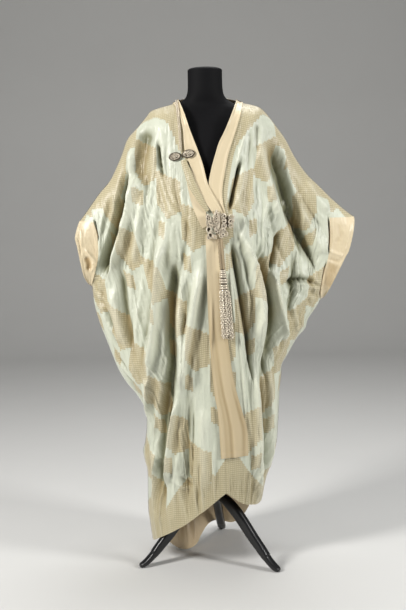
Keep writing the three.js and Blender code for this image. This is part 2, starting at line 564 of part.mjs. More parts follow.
// ---------- tassel ----------
const hang = { x: 38, z: 950, out: 21, lean: 0.064, forward: 0.01 };
const hangPoint = coatPoint(-1, hang.x, hang.z, hang.out, []);
function tasselPoint(z) {
  const below = hang.z - z;
  return new THREE.Vector3(hang.x + below * hang.lean, hangPoint.y - below * hang.forward, z);
}
const braidTop = 1012;
const braidSetBack = 9;       // the braid's upper end, behind the tassel's head
const braidPoints = [braidTop, 1000, 985, 965, 945, 925].map((z) => {
  const reach = THREE.MathUtils.smoothstep(braidTop - z, 0, 40);
  return tasselPoint(z).add(new THREE.Vector3(0, (1 - reach) * braidSetBack, 0));
});
addPiece("tassel_braid", tube(braidPoints, (t) => 5.5 - 1.5 * t, always(2), 8), colours.metalCord);

const headProfile = rows("z radius", [[923.5, 3], [922, 6.5], [914, 9], [898, 9.5], [886, 9], [882, 11.5],
  [877, 11.5], [874, 10], [870, 12], [866, 12], [862, 13], [854, 12.5]]);
const headSides = 14;
const head = lofted(headProfile.map(({ z, radius }) => Array.from({ length: headSides }, (_, k) => {
  const angle = (2 * Math.PI * k) / headSides;
  return tasselPoint(z).add(new THREE.Vector3(radius * Math.cos(angle), radius * Math.sin(angle), 0));
})));
const strandRings = rows("count radiusTop radiusBottom", [[18, 10.2, 16.5], [8, 5.5, 9]]);
const strandRadius = 1.5;
const strandBottom = 726;
const strands = strandRings.flatMap(({ count, radiusTop, radiusBottom }) => (
  Array.from({ length: count }, (_, k) => {
    const angle = (2 * Math.PI * k) / count;
    const bottom = strandBottom + 7 * Math.sin(5 * angle + count);
    const points = [862, 820, bottom].map((z, step) => {
      const radius = THREE.MathUtils.lerp(radiusTop, radiusBottom, step / 2);
      return tasselPoint(z).add(new THREE.Vector3(radius * Math.cos(angle), radius * Math.sin(angle), 0));
    });
    return tube(points, always(strandRadius), always(strandRadius), 3);
  })
));
addPiece("tassel", fused([head, ...strands]), colours.metalCord);

// ---------- shoulder ornament ----------
const ovalShape = { halfWidth: 18.5, halfHeight: 12.5, thick: 7, tilt: 0.16, under: 4.2, sides: 16 };
const ovalLevels = rows("scale rise", [[0.93, 0], [1, 0.28], [0.93, 0.62], [0.72, 0.88], [0.3, 1]]);
function ovalCoil(x, z) {
  const centre = new THREE.Vector2(x, z);
  return lofted(ovalLevels.map(({ scale, rise }) => Array.from({ length: ovalShape.sides }, (_, k) => {
    const angle = (2 * Math.PI * k) / ovalShape.sides;
    const at = new THREE.Vector2(Math.cos(angle), Math.sin(angle)).multiplyScalar(scale)
      .multiply(new THREE.Vector2(ovalShape.halfWidth, ovalShape.halfHeight))
      .rotateAround(new THREE.Vector2(), ovalShape.tilt).add(centre);
    return coatPoint(-1, at.x, at.y, ovalShape.under + ovalShape.thick * rise, []);
  })));
}
addPiece("ornament_right", ovalCoil(-91, 1251), colours.metalCord);
addPiece("ornament_left", ovalCoil(-52, 1258), colours.metalCord);

const cordLine = rows("x z", [[-83, 1412], [-82, 1400], [-80, 1380], [-78, 1355], [-76, 1320], [-74, 1278]]);
const cordRadius = 2.6;
const cordUnder = 3.5;
const cordSteps = 23;
const cordPoints = Array.from({ length: cordSteps + 1 }, (_, k) => {
  const at = spline(cordLine).getPointAt(k / cordSteps);
  return coatPoint(-1, at.x, at.y, cordUnder + cordRadius, []);
});
addPiece("ornament_cord", tube(cordPoints, always(cordRadius), always(cordRadius), 6), colours.metalCord);

// ---------- dress form ----------
const formSections = rows("z halfWidth front back", [
  [torsoBottom, 134, 92, 74], [torsoBottom + 6, 142, 98, 80], [870, 150, 104, 84], [930, 150, 102, 83],
  [1000, 136, 94, 76], [1075, 120, 92, 70], [1140, 128, 104, 74], [1200, 142, 106, 78], [1260, 152, 98, 78],
  [1310, 158, 86, 72], [1345, 160, 72, 60], [1368, 154, 60, 49], [1385, 136, 50, 40], [1398, 109, 44, 34],
  [1409, 82, 43, 36], [1418, 67, 45, 43], [1430, 57, 48, 48], [1448, 52.5, 50, 50], [1475, 51.5, 50, 50],
  [1503, 51.5, 50, 50], [1510, 48, 46.5, 46.5], [1514, 32, 31, 31]]);
const formSides = 22;
const formPower = 2.3;
const rounded = (value) => Math.sign(value) * Math.abs(value) ** (2 / formPower);
addPiece("form_torso", lofted(formSections.map(({ z, halfWidth, front, back }) =>
  Array.from({ length: formSides }, (_, k) => {
    const angle = (2 * Math.PI * k) / formSides;
    const depth = Math.sin(angle) < 0 ? front : back;
    return new THREE.Vector3(halfWidth * rounded(Math.cos(angle)), depth * rounded(Math.sin(angle)), z);
  }))), colours.form);

// ---------- stand ----------
const poleLength = torsoBottom - seamGap - poleBottom;
addPiece("stand_pole", new THREE.CylinderGeometry(poleRadius, poleRadius, poleLength, 16).rotateX(Math.PI / 2)
  .translate(0, 0, poleBottom + poleLength / 2), colours.stand);
const hubProfile = rows("radius z", [[0, 214], [19, 214], [22, 208], [22, 184], [0, 184]]);
const hubBore = poleRadius + seamGap;
const hubSection = hubProfile.map((p) => new THREE.Vector2(p.radius, p.z)).reverse();
const hubShape = new THREE.LatheGeometry(hubSection, 20);
const boreShape = new THREE.CylinderGeometry(hubBore, hubBore, 80, 16).translate(0, 200, 0);
const hub = toManifold(hubShape.rotateX(Math.PI / 2)).subtract(toManifold(boreShape.rotateX(Math.PI / 2)));
addPiece("stand_hub", toGeometry(hub), colours.stand);

const legProfile = rows("r z halfWidth halfHeight", [
  [22.4, 199, 9, 13], [40, 194, 10, 15], [62, 182, 11, 17], [92, 157, 12, 17.5], [120, 127, 12, 17],
  [150, 92, 12, 16], [184, 56, 11.5, 14], [208, 31, 11, 11], [226, 15, 10.5, 8.6]]);
const toe = rows("r halfWidth halfHeight", [[235, 10, 7.8], [footRadius, 8.5, 7.2]]);
function leg(angle) {
  const away = new THREE.Vector3(Math.sin(angle), -Math.cos(angle), 0);
  const across = new THREE.Vector3(Math.cos(angle), Math.sin(angle), 0);
  const curve = new THREE.SplineCurve(legProfile.map((p) => new THREE.Vector2(p.r, p.z)));
  const corners = [[1, 0.5], [0.55, 1], [-0.55, 1], [-1, 0.5], [-1, -0.5], [-0.55, -1], [0.55, -1],
    [1, -0.5]];
  const ring = (r, z, slope, width, height) => corners.map(([a, b]) => away.clone()
    .multiplyScalar(r - slope.y * b * height).addScaledVector(across, a * width)
    .add(new THREE.Vector3(0, 0, z + slope.x * b * height)));
  const rings = legProfile.map((p, k) => {
    const slope = k === 0 ? new THREE.Vector2(1, 0) : curve.getTangent(k / (legProfile.length - 1));
    return ring(p.r, p.z, slope, p.halfWidth, p.halfHeight);
  });
  const flat = new THREE.Vector2(1, 0);
  for (const p of toe) rings.push(ring(p.r, p.halfHeight, flat, p.halfWidth, p.halfHeight));
  return lofted(rings);
}
["leg_front_left", "leg_front_right", "leg_back"].forEach((name, k) => {
  addPiece(name, leg(THREE.MathUtils.degToRad(firstFootAngle - 120 * k)), colours.stand);
});

// origin at the middle of the whole part's footprint, on the floor
const size = new THREE.Box3().setFromObject(coat);
coat.position.set(-(size.min.x + size.max.x) / 2, -(size.min.y + size.max.y) / 2, -size.min.z);

export default coat;
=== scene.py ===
import math

import bpy
import numpy as np
from mathutils import Matrix, Vector


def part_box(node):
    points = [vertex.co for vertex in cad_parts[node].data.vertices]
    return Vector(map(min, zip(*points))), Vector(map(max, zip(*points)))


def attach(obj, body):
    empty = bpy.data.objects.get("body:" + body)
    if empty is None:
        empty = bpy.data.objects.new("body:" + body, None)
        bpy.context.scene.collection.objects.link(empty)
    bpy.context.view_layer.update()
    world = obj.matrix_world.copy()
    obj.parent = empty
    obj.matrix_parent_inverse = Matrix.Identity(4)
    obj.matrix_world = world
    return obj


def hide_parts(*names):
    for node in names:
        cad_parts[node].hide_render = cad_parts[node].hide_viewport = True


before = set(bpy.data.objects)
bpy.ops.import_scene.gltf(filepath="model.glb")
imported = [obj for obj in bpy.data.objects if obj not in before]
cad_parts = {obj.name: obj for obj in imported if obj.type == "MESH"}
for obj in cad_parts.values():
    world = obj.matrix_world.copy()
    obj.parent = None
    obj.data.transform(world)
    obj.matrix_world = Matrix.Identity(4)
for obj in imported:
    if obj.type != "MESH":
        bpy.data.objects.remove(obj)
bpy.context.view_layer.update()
mm = 0.001
poleLow, poleHigh = (np.array(corner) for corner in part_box("stand_pole"))
shift = np.array([(poleLow[0] + poleHigh[0]) / 2, (poleLow[1] + poleHigh[1]) / 2, 0.0]) / mm
print("frame loaded")


# small helpers

def rows(columns, lines):
    # a table read down its columns
    names = columns.split()
    return {name: np.array([line[k] for line in lines], float) for k, name in enumerate(names)}


def smooth(value, low, high):
    # 0 up to low, 1 from high on, eased between
    t = np.clip((value - low) / (high - low), 0, 1)
    return t * t * (3 - 2 * t)


def bump(t):
    # 1 in the middle, 0 from a distance of 1 on
    return np.where(np.abs(t) < 1, 0.5 + 0.5 * np.cos(np.pi * np.clip(t, -1, 1)), 0.0)


def curveOf(points, t):
    # smooth curve through all the points
    points = np.asarray(points, float)
    count = len(points)
    place = np.clip(np.asarray(t, float), 0, 1) * (count - 1)
    k = np.minimum(place.astype(int), count - 2)
    w = (place - k)[:, None]
    before, a, b, after = (points[np.clip(k + step, 0, count - 1)] for step in (-1, 0, 1, 2))
    slopeA, slopeB = (b - before) * 0.5, (after - a) * 0.5
    return ((2 * a - 2 * b + slopeA + slopeB) * w**3 + (-3 * a + 3 * b - 2 * slopeA - slopeB) * w**2
            + slopeA * w + a)


def alongCurve(points, places):
    # points at equal shares of the curve's length
    t = np.linspace(0, 1, 401)
    fine = curveOf(points, t)
    length = np.concatenate([[0], np.cumsum(np.linalg.norm(np.diff(fine, axis=0), axis=1))])
    return curveOf(points, np.interp(np.asarray(places) * length[-1], length, t))


def softNoise(a, b, seed, size=64):
    # smooth random field between -1 and 1 on a repeating lattice
    lattice = np.random.default_rng(seed).uniform(-1, 1, (size, size))
    i, j = np.floor(a).astype(int), np.floor(b).astype(int)
    u, v = a - i, b - j
    u, v = u * u * (3 - 2 * u), v * v * (3 - 2 * v)
    at = lambda p, q: lattice[p % size, q % size]
    return ((at(i, j) * (1 - u) + at(i + 1, j) * u) * (1 - v)
            + (at(i, j + 1) * (1 - u) + at(i + 1, j + 1) * u) * v)


# the coat's surface, in millimetres from the pole on the floor

outlineTable = {
    "shoulderLeft": [(92, 1415), (107, 1409), (145, 1400), (164, 1392), (183, 1374), (211, 1337),
                     (239, 1297), (266, 1245), (301, 1194), (337, 1158), (380, 1115), (420, 1080),
                     (444, 1062)],
    "shoulderRight": [(-80, 1420), (-100, 1408), (-130, 1400), (-163, 1389), (-178, 1372), (-204, 1342),
                      (-236, 1307), (-255, 1260), (-273, 1221), (-293, 1184), (-324, 1149), (-352, 1112),
                      (-372, 1085), (-388, 1065)],
    "sideLeft": [(350, 817), (341, 811), (331, 792), (303, 750), (294, 722), (268, 692), (238, 640),
                 (222, 612), (219, 577), (214, 536), (209, 450), (204, 377), (192, 316), (170, 255),
                 (155, 184)],
    "sideRight": [(-366, 871), (-358, 866), (-355, 846), (-352, 813), (-340, 760), (-314, 686), (-287, 612),
                  (-263, 568), (-230, 526), (-207, 482), (-201, 433), (-207, 378), (-215, 346), (-210, 312),
                  (-203, 275), (-204, 161), (-200, 119), (-193, 60)],
}
cuffLines = {
    "seamLeft": [(366, 1062), (368, 996), (361, 942), (347, 894), (338, 846), (341, 811)],
    "edgeLeft": [(444, 1062), (440, 1028), (426, 967), (413, 941), (382, 880), (350, 817)],
    "seamRight": [(-344, 1066), (-336, 1039), (-331, 1008), (-330, 975), (-334, 942), (-345, 903),
                  (-358, 866)],
    "edgeRight": [(-388, 1065), (-394, 1044), (-400, 1016), (-395, 990), (-389, 957), (-383, 924),
                  (-378, 899), (-366, 871)],
}
neckLines = {
    "edgeLeft": [(92.5, 1414.8), (78, 1379), (55, 1326), (37, 1291), (27, 1262), (12, 1211), (4, 1162),
                 (13, 1112), (26, 1074), (24, 1042), (25, 1016)],
    "foldLeft": [(111, 1408), (104, 1378), (87, 1325), (72, 1282), (63, 1255), (54, 1215), (43, 1153),
                 (45, 1112), (52, 1074), (40, 1042), (31, 1016)],
    "edgeRight": [(-80.5, 1419.8), (-72, 1402), (-60, 1370), (-46, 1326), (-25, 1269), (-11, 1226),
                  (3, 1168), (25, 1125), (43, 1086), (47, 1058)],
    "foldRight": [(-96.5, 1410), (-88, 1396), (-76, 1370), (-67, 1328), (-63, 1270), (-49, 1226),
                  (-34, 1169), (-12, 1125), (15, 1084), (19, 1058)],
    "meeting": [(26, 1010), (31, 834), (36, 596), (38, 415), (40, 246)],
    "backNeck": [(-80.5, 1419.8), (-62, 1425), (-34, 1429), (4, 1431), (46, 1428), (76, 1421),
                 (92.5, 1414.8)],
    "backFold": [(-96.5, 1410), (-90, 1396), (-44, 1388), (4, 1387), (52, 1388), (100, 1396), (111, 1408)],
}
hemLines = {
    "right": [(40, 246), (10, 224), (-11, 207), (-44, 182), (-87, 147), (-131, 115), (-166, 88), (-193, 60)],
    "left": [(40, 246), (62, 227), (84, 208), (105, 196), (128, 189), (155, 184)],
    "back": [(-193, 60), (-177, 33), (-146, 17), (-112, 6), (-62, 5), (-44, 24), (-22, 40), (4, 38), (34, 31),
             (60, 25), (84, 34), (104, 58), (120, 94), (136, 148), (155, 184)],
}
depths = rows("z front back fallOff roll", [
    (1450, 44, 46, 300, 85), (1425, 70, 60, 290, 85), (1390, 88, 76, 270, 85), (1360, 94, 84, 250, 84),
    (1320, 99, 92, 235, 80), (1270, 107, 98, 225, 75), (1220, 116, 100, 215, 70), (1160, 129, 98, 210, 64),
    (1080, 148, 98, 210, 60), (1000, 151, 106, 220, 62), (900, 152, 118, 240, 76), (800, 152, 132, 270, 105),
    (700, 153, 144, 330, 150), (600, 153, 156, 440, 195), (450, 153, 172, 620, 205),
    (300, 152, 192, 700, 205), (150, 149, 216, 700, 205), (60, 146, 231, 700, 205), (0, 144, 238, 700, 205)])
shell = {"sleeveFront": 33, "sleeveBack": 31, "fallPower": 2.4, "tailX": -92, "tailReach": 120,
         "tailTop": 330, "tailPull": 0.77, "foldFade": 26, "wall": 1.7, "onLine": 1.2, "slack": 0.8,
         "frontsMeet": 28}
foldShape = {"pieces": 10, "taper": 0.22, "endHeight": 0.12, "endRound": 1.2}

# a fold: x and z of its start, middle and end, its width, its height (a valley below 0) and its crispness
mainFoldsRight = [
    (-170, 1345, -192, 1260, -211, 1165, 36, -22, 0), (-141, 1292, -139, 1252, -136, 1208, 16, -7, 0.8),
    (-214, 1290, -236, 1186, -266, 1050, 20, 17, 0.4), (-232, 1235, -268, 1060, -330, 890, 26, -44, 0.4),
    (-204, 1235, -238, 1065, -300, 895, 30, 32, 0.3), (-188, 1150, -204, 1034, -224, 925, 26, 17, 0.2),
    (-128, 1050, -156, 820, -188, 590, 28, 35, 0.6), (-188, 610, -190, 520, -197, 430, 24, 20, 0.3),
    (-92, 960, -114, 790, -104, 600, 25, -33, 0.6), (-106, 700, -140, 450, -164, 170, 27, -36, 0.5),
    (-24, 945, -62, 745, -98, 550, 26, 25, 0.6), (-98, 555, -124, 400, -140, 250, 24, 26, 0.7),
    (-82, 830, -88, 700, -80, 560, 26, 13, 0), (-60, 600, -72, 420, -78, 190, 24, -14, 0.5),
    (-20, 520, -22, 400, -30, 230, 36, 12, 0), (-262, 930, -250, 800, -228, 640, 22, -17, 0.5),
    (-300, 870, -280, 780, -262, 690, 26, 14, 0.2)]
mainFoldsLeft = [
    (99, 1240, 82, 1166, 62, 1085, 16, -14, 0.7), (188, 1312, 236, 1120, 322, 915, 42, -29, 0),
    (160, 1300, 184, 1170, 220, 1050, 30, 17, 0.2), (212, 1035, 196, 970, 180, 905, 18, -12, 0.6),
    (92, 1035, 148, 880, 146, 680, 30, 26, 0.3), (112, 1010, 184, 815, 150, 560, 24, -27, 0.6),
    (184, 918, 212, 800, 222, 684, 24, 20, 0.4), (228, 868, 278, 880, 326, 856, 18, -17, 0.4),
    (266, 724, 288, 710, 304, 690, 16, -12, 0.3), (66, 1010, 94, 838, 126, 590, 18, -20, 0.6),
    (124, 640, 140, 430, 136, 180, 26, 20, 0.3), (151, 1350, 150, 1305, 148, 1260, 14, -7, 0.8),
    (176, 620, 180, 430, 166, 250, 24, 14, 0.2), (152, 600, 160, 400, 150, 190, 18, -19, 0.6),
    (268, 1100, 318, 1010, 346, 950, 32, 13, 0.1), (258, 980, 250, 850, 226, 740, 18, -14, 0.5),
    (300, 1180, 330, 1120, 366, 1080, 26, 10, 0.2)]
mainFoldsBack = [
    (-165, 1340, -210, 1130, -310, 905, 42, -26, 0.1), (170, 1335, 226, 1120, 318, 905, 42, -26, 0.1),
    (-120, 1320, -150, 1120, -210, 880, 34, 17, 0.2), (126, 1310, 160, 1110, 220, 890, 34, 17, 0.2),
    (-60, 1240, -92, 900, -110, 560, 36, -20, 0.1), (64, 1230, 100, 900, 104, 520, 36, -20, 0.1),
    (0, 1180, -8, 800, 6, 300, 40, 19, 0.1), (-150, 900, -150, 650, -160, 380, 30, 26, 0.3),
    (150, 880, 158, 640, 160, 360, 30, 26, 0.3), (-50, 700, -48, 480, -30, 60, 34, 20, 0.2),
    (52, 700, 60, 450, 62, 50, 34, -22, 0.2), (96, 620, 112, 420, 116, 120, 28, 19, 0.3),
    (-108, 560, -120, 420, -118, 200, 30, -17, 0.1), (-270, 880, -250, 760, -226, 610, 32, -19, 0.1),
    (282, 860, 256, 760, 226, 640, 30, -19, 0.1)]
# finer creases, only in the cloth that shows
creasesRight = [
    (-236, 1226, -263, 1080, -322, 900, 11, -15, 0.9), (-216, 1232, -244, 1082, -303, 900, 15, 12, 0.8),
    (-141, 1300, -137, 1240, -128, 1190, 8, -11, 0.9), (-122, 1040, -148, 820, -184, 585, 11, 8, 0.9),
    (-86, 920, -108, 790, -94, 650, 14, -9, 0.7), (-16, 960, -54, 745, -92, 550, 11, 8, 0.9),
    (-93, 560, -120, 400, -137, 260, 10, 8, 0.9), (-118, 650, -152, 450, -174, 200, 13, -10, 0.8),
    (-183, 620, -186, 520, -194, 420, 9, 6, 0.9), (-209, 1290, -230, 1186, -262, 1060, 9, 6, 0.8),
    (-116, 1290, -118, 1230, -112, 1160, 9, -3.5, 0.5), (-150, 1280, -160, 1190, -172, 1100, 10, 4, 0.5),
    (-168, 1230, -182, 1130, -196, 1010, 12, -6, 0.2), (-95, 1200, -88, 1130, -66, 1060, 10, -4, 0.4),
    (-75, 1150, -64, 1090, -44, 1030, 8, 4, 0.5), (-60, 1120, -66, 1000, -96, 880, 12, -6, 0.4),
    (-40, 1060, -52, 960, -84, 850, 10, 5, 0.5), (-112, 1130, -124, 1000, -150, 870, 12, 5, 0.4),
    (-140, 1120, -158, 1000, -180, 880, 12, -5, 0.3), (-158, 940, -176, 800, -206, 640, 11, -6, 0.4),
    (-196, 900, -214, 780, -236, 650, 12, 5, 0.4), (-222, 880, -232, 780, -248, 680, 9, -4, 0.4),
    (-250, 1120, -276, 1020, -318, 930, 9, 4, 0.6), (-290, 1140, -302, 1070, -330, 1000, 14, -5, 0.2),
    (-310, 1100, -322, 1030, -328, 960, 10, 4, 0.4), (-330, 860, -312, 800, -286, 720, 12, -6, 0.4),
    (-322, 790, -300, 740, -262, 700, 9, 4, 0.5), (-300, 700, -280, 650, -240, 610, 9, -5, 0.5),
    (-276, 640, -250, 600, -218, 580, 8, 4, 0.5), (-252, 600, -236, 560, -216, 530, 8, -4, 0.5),
    (-226, 560, -214, 500, -204, 440, 10, 4, 0.4), (-172, 560, -176, 470, -186, 380, 10, -5, 0.3),
    (-120, 760, -132, 680, -150, 600, 10, -5, 0.3), (-46, 900, -66, 800, -86, 700, 10, -5, 0.4),
    (-8, 900, -20, 800, -40, 680, 10, -4, 0.3), (8, 860, 4, 700, -6, 560, 9, 3, 0.3),
    (-42, 700, -56, 600, -70, 480, 12, 5, 0.3), (-100, 380, -112, 300, -120, 200, 12, 5, 0.3),
    (-36, 360, -40, 290, -48, 210, 10, -4, 0.3), (10, 420, 4, 330, -2, 250, 9, 3, 0.4),
    (-98, 300, -80, 280, -54, 278, 7, -4, 0.6), (-110, 284, -90, 266, -62, 262, 7, 3, 0.6),
    (-176, 360, -180, 280, -186, 180, 9, 6, 0.4), (-196, 340, -196, 260, -198, 160, 8, -5, 0.4),
    (-340, 1072, -335, 1040, -329, 1008, 5, -15, 1.0), (-262, 1110, -284, 1000, -312, 886, 10, -20, 0.9),
    (-146, 960, -166, 820, -186, 660, 8, -9, 0.9), (-66, 820, -78, 700, -84, 590, 8, -8, 0.9),
    (-126, 560, -150, 420, -160, 260, 8, 7, 0.9), (-52, 520, -58, 400, -64, 280, 7, -7, 0.9)]
creasesLeft = [
    (98, 1236, 82, 1166, 63, 1088, 9, -17, 0.9), (212, 1035, 197, 970, 182, 905, 8, -13, 0.9),
    (86, 1040, 140, 880, 140, 680, 11, 8, 0.9),
    (112, 1000, 176, 820, 144, 590, 12, -9, 0.8), (66, 1005, 92, 838, 122, 596, 9, -9, 0.9),
    (183, 920, 210, 800, 221, 690, 9, 7, 0.8), (156, 1300, 178, 1170, 212, 1050, 10, 5, 0.8),
    (228, 872, 280, 884, 328, 858, 8, -7, 0.9), (120, 640, 136, 430, 132, 180, 10, 7, 0.8),
    (150, 560, 156, 400, 146, 200, 10, -7, 0.8), (196, 1290, 246, 1110, 330, 915, 13, -8, 0.7),
    (128, 1330, 126, 1270, 118, 1210, 9, -3.5, 0.5), (110, 1230, 104, 1170, 84, 1110, 9, 4, 0.5),
    (74, 1180, 66, 1130, 58, 1090, 7, -4, 0.5), (140, 1240, 142, 1140, 128, 1060, 12, -5, 0.3),
    (166, 1150, 168, 1060, 152, 980, 12, 5, 0.3), (230, 1250, 262, 1130, 320, 1010, 12, 5, 0.3),
    (256, 1200, 290, 1110, 344, 1030, 10, -4, 0.3), (280, 1170, 316, 1100, 356, 1050, 9, 3, 0.4),
    (206, 1180, 232, 1060, 284, 930, 12, 6, 0.4), (180, 1100, 196, 1020, 232, 920, 11, -5, 0.3),
    (84, 1030, 108, 930, 124, 820, 9, -5, 0.4), (104, 1000, 128, 900, 136, 780, 9, 5, 0.4),
    (150, 930, 178, 840, 186, 740, 12, -6, 0.3), (168, 800, 176, 700, 166, 600, 11, 5, 0.3),
    (206, 820, 214, 740, 210, 660, 10, -5, 0.3), (246, 820, 258, 760, 268, 710, 10, 5, 0.4),
    (290, 840, 306, 800, 318, 780, 8, -4, 0.5), (246, 860, 286, 866, 330, 838, 8, 5, 0.6),
    (240, 706, 262, 690, 286, 684, 7, 4, 0.6), (222, 660, 236, 664, 250, 660, 7, -4, 0.6),
    (196, 640, 202, 560, 200, 470, 10, 4, 0.3), (104, 760, 118, 660, 124, 540, 10, -5, 0.4),
    (92, 640, 108, 520, 116, 400, 10, 5, 0.3), (112, 420, 118, 320, 118, 220, 9, -4, 0.3),
    (188, 440, 186, 370, 176, 300, 9, -5, 0.4), (60, 960, 64, 860, 76, 740, 8, 5, 0.6),
    (200, 560, 206, 540, 214, 520, 6, -3, 0.6), (182, 330, 176, 290, 162, 240, 8, 4, 0.4),
    (361, 1070, 367, 1005, 361, 960, 6, -15, 1.0), (355, 930, 346, 880, 336, 818, 7, -13, 1.0),
    (231, 1110, 278, 1015, 332, 890, 14, -14, 0.8), (128, 900, 152, 780, 150, 640, 8, 8, 0.9),
    (100, 820, 116, 690, 126, 560, 7, -8, 0.9), (160, 700, 168, 560, 166, 420, 8, -8, 0.9),
    (84, 760, 96, 600, 100, 460, 7, 6, 0.9), (132, 470, 136, 360, 134, 240, 7, -7, 0.9)]
creasesBack = [
    (-40, 1330, -60, 1180, -80, 1010, 12, -5, 0.3), (40, 1330, 58, 1180, 76, 1010, 12, -5, 0.3),
    (-90, 1280, -120, 1120, -160, 940, 12, 6, 0.3), (92, 1280, 122, 1120, 160, 950, 12, 6, 0.3),
    (-200, 1250, -240, 1120, -300, 1000, 12, 5, 0.3), (204, 1250, 246, 1120, 306, 1010, 12, 5, 0.3),
    (-20, 1000, -30, 800, -40, 560, 12, -6, 0.3), (22, 980, 30, 780, 34, 540, 12, 6, 0.3),
    (-80, 840, -84, 640, -86, 420, 12, 5, 0.3), (84, 840, 90, 640, 88, 420, 12, -5, 0.3),
    (-190, 800, -180, 680, -176, 520, 10, -5, 0.4), (196, 800, 188, 680, 184, 500, 10, -5, 0.4),
    (-240, 1020, -256, 900, -268, 780, 12, 5, 0.3), (246, 1020, 262, 900, 276, 800, 12, 5, 0.3),
    (-20, 500, -14, 330, -4, 140, 12, 5, 0.3), (84, 460, 86, 300, 84, 140, 12, -5, 0.3),
    (-140, 420, -146, 300, -150, 140, 11, 5, 0.3), (140, 420, 142, 320, 144, 220, 9, 4, 0.3),
    (-104, 330, -106, 170, -102, 10, 14, 9, 0.3), (-76, 330, -72, 170, -68, 10, 10, -9, 0.5),
    (-132, 280, -138, 160, -140, 20, 10, -9, 0.5), (52, 300, 54, 180, 56, 60, 10, 8, 0.4)]


def column(table, name):
    # smooth curve through one column of a table, by height
    order = np.argsort(table["z"])
    z, value = table["z"][order], table[name][order]
    last = len(z) - 1
    below, above = np.maximum(np.arange(last + 1) - 1, 0), np.minimum(np.arange(last + 1) + 1, last)
    slope = (value[above] - value[below]) / (z[above] - z[below])

    def at(height):
        place = np.clip(height, z[0], z[-1])
        k = np.clip(np.searchsorted(z, place) - 1, 0, last - 1)
        span = z[k + 1] - z[k]
        t = (place - z[k]) / span
        rise = t * t * (3 - 2 * t)
        return (value[k] * (1 - rise) + value[k + 1] * rise
                + span * (slope[k] * t * (1 - t) ** 2 - slope[k + 1] * t * t * (1 - t)))
    return at


depthAt = {name: column(depths, name) for name in ("front", "back", "fallOff", "roll")}
outlines = [curveOf(line, np.linspace(0, 1, 10 * len(line) + 1)) for line in outlineTable.values()]
outlineStart = np.concatenate([line[:-1] for line in outlines])
outlineEnd = np.concatenate([line[1:] for line in outlines])


def nearestOutline(x, z):
    # distance to the closed outline, and the way out to it
    distance, outX, outZ = np.empty(len(x)), np.empty(len(x)), np.empty(len(x))
    step = outlineEnd - outlineStart
    squared = (step**2).sum(1)
    atOnce = 4000  # points in one go, to save memory
    for start in range(0, len(x), atOnce):
        part = slice(start, start + atOnce)
        px, pz = x[part, None], z[part, None]
        t = ((px - outlineStart[:, 0]) * step[:, 0] + (pz - outlineStart[:, 1]) * step[:, 1]) / squared
        t = np.clip(t, 0, 1)
        ox = outlineStart[:, 0] + t * step[:, 0] - px
        oz = outlineStart[:, 1] + t * step[:, 1] - pz
        away = np.hypot(ox, oz)
        k = away.argmin(1)
        row = np.arange(len(k))
        nearest = away[row, k]
        flip = np.sign(outlineStart[k, 0]) / np.sqrt(squared[k])
        onLine = nearest < shell["onLine"]
        distance[part] = np.maximum(nearest - shell["slack"], 0)
        safe = np.maximum(nearest, 1e-9)
        outX[part] = np.where(onLine, -step[k, 1] * flip, ox[row, k] / safe)
        outZ[part] = np.where(onLine, step[k, 0] * flip, oz[row, k] / safe)
    return distance, outX, outZ


def fullDepth(side, x, z):
    # depth before the edge rolls in; side is -1 for the front and 1 for the back
    middle = depthAt["front" if side < 0 else "back"](z)
    thin = shell["sleeveFront" if side < 0 else "sleeveBack"]
    depth = thin + (middle - thin) * np.exp(-((np.abs(x) / depthAt["fallOff"](z)) ** shell["fallPower"]))
    if side < 0:
        return depth
    drop = smooth(shell["tailTop"] - z, 0, shell["tailTop"])
    return depth * (1 - shell["tailPull"] * drop * bump((x - shell["tailX"]) / shell["tailReach"]))


def foldHeights(folds, x, z):
    # how far a list of folds raises the cloth, each measured from its own curve
    total = np.zeros(len(x))
    pieces = foldShape["pieces"]
    t = np.linspace(0, 1, pieces + 1)[:, None]
    for x1, z1, x2, z2, x3, z3, wide, deep, crisp in folds:
        first, last = np.array([x1, z1]), np.array([x3, z3])
        middle = 2 * np.array([x2, z2]) - (first + last) / 2
        path = first * (1 - t) ** 2 + middle * 2 * t * (1 - t) + last * t * t
        box = (x > path[:, 0].min() - wide) & (x < path[:, 0].max() + wide)
        box &= (z > path[:, 1].min() - wide) & (z < path[:, 1].max() + wide)
        px, pz = x[box], z[box]
        nearest, along = np.full(len(px), 1e9), np.zeros(len(px))
        for k in range(pieces):
            ax, az = path[k]
            dx, dz = path[k + 1] - path[k]
            s = np.clip(((px - ax) * dx + (pz - az) * dz) / (dx * dx + dz * dz), 0, 1)
            away = np.hypot(ax + s * dx - px, az + s * dz - pz)
            better = away < nearest
            nearest = np.where(better, away, nearest)
            along = np.where(better, (k + s) / pieces, along)
        across = nearest / wide
        shape = bump(across) * (1 - crisp) + np.clip(1 - across, 0, 1) ** 2 * crisp
        taper = smooth(along, 0, foldShape["taper"]) * smooth(1 - along, 0, foldShape["taper"])
        taper = foldShape["endHeight"] + (1 - foldShape["endHeight"]) * taper
        ends = np.where((along > 0) & (along < 1), 1, bump(across * foldShape["endRound"]))
        total[box] += deep * shape * taper * ends * (across < 1)
    return total


foldsBySide = {"right": mainFoldsRight + creasesRight, "left": mainFoldsLeft + creasesLeft,
               "back": mainFoldsBack + creasesBack}


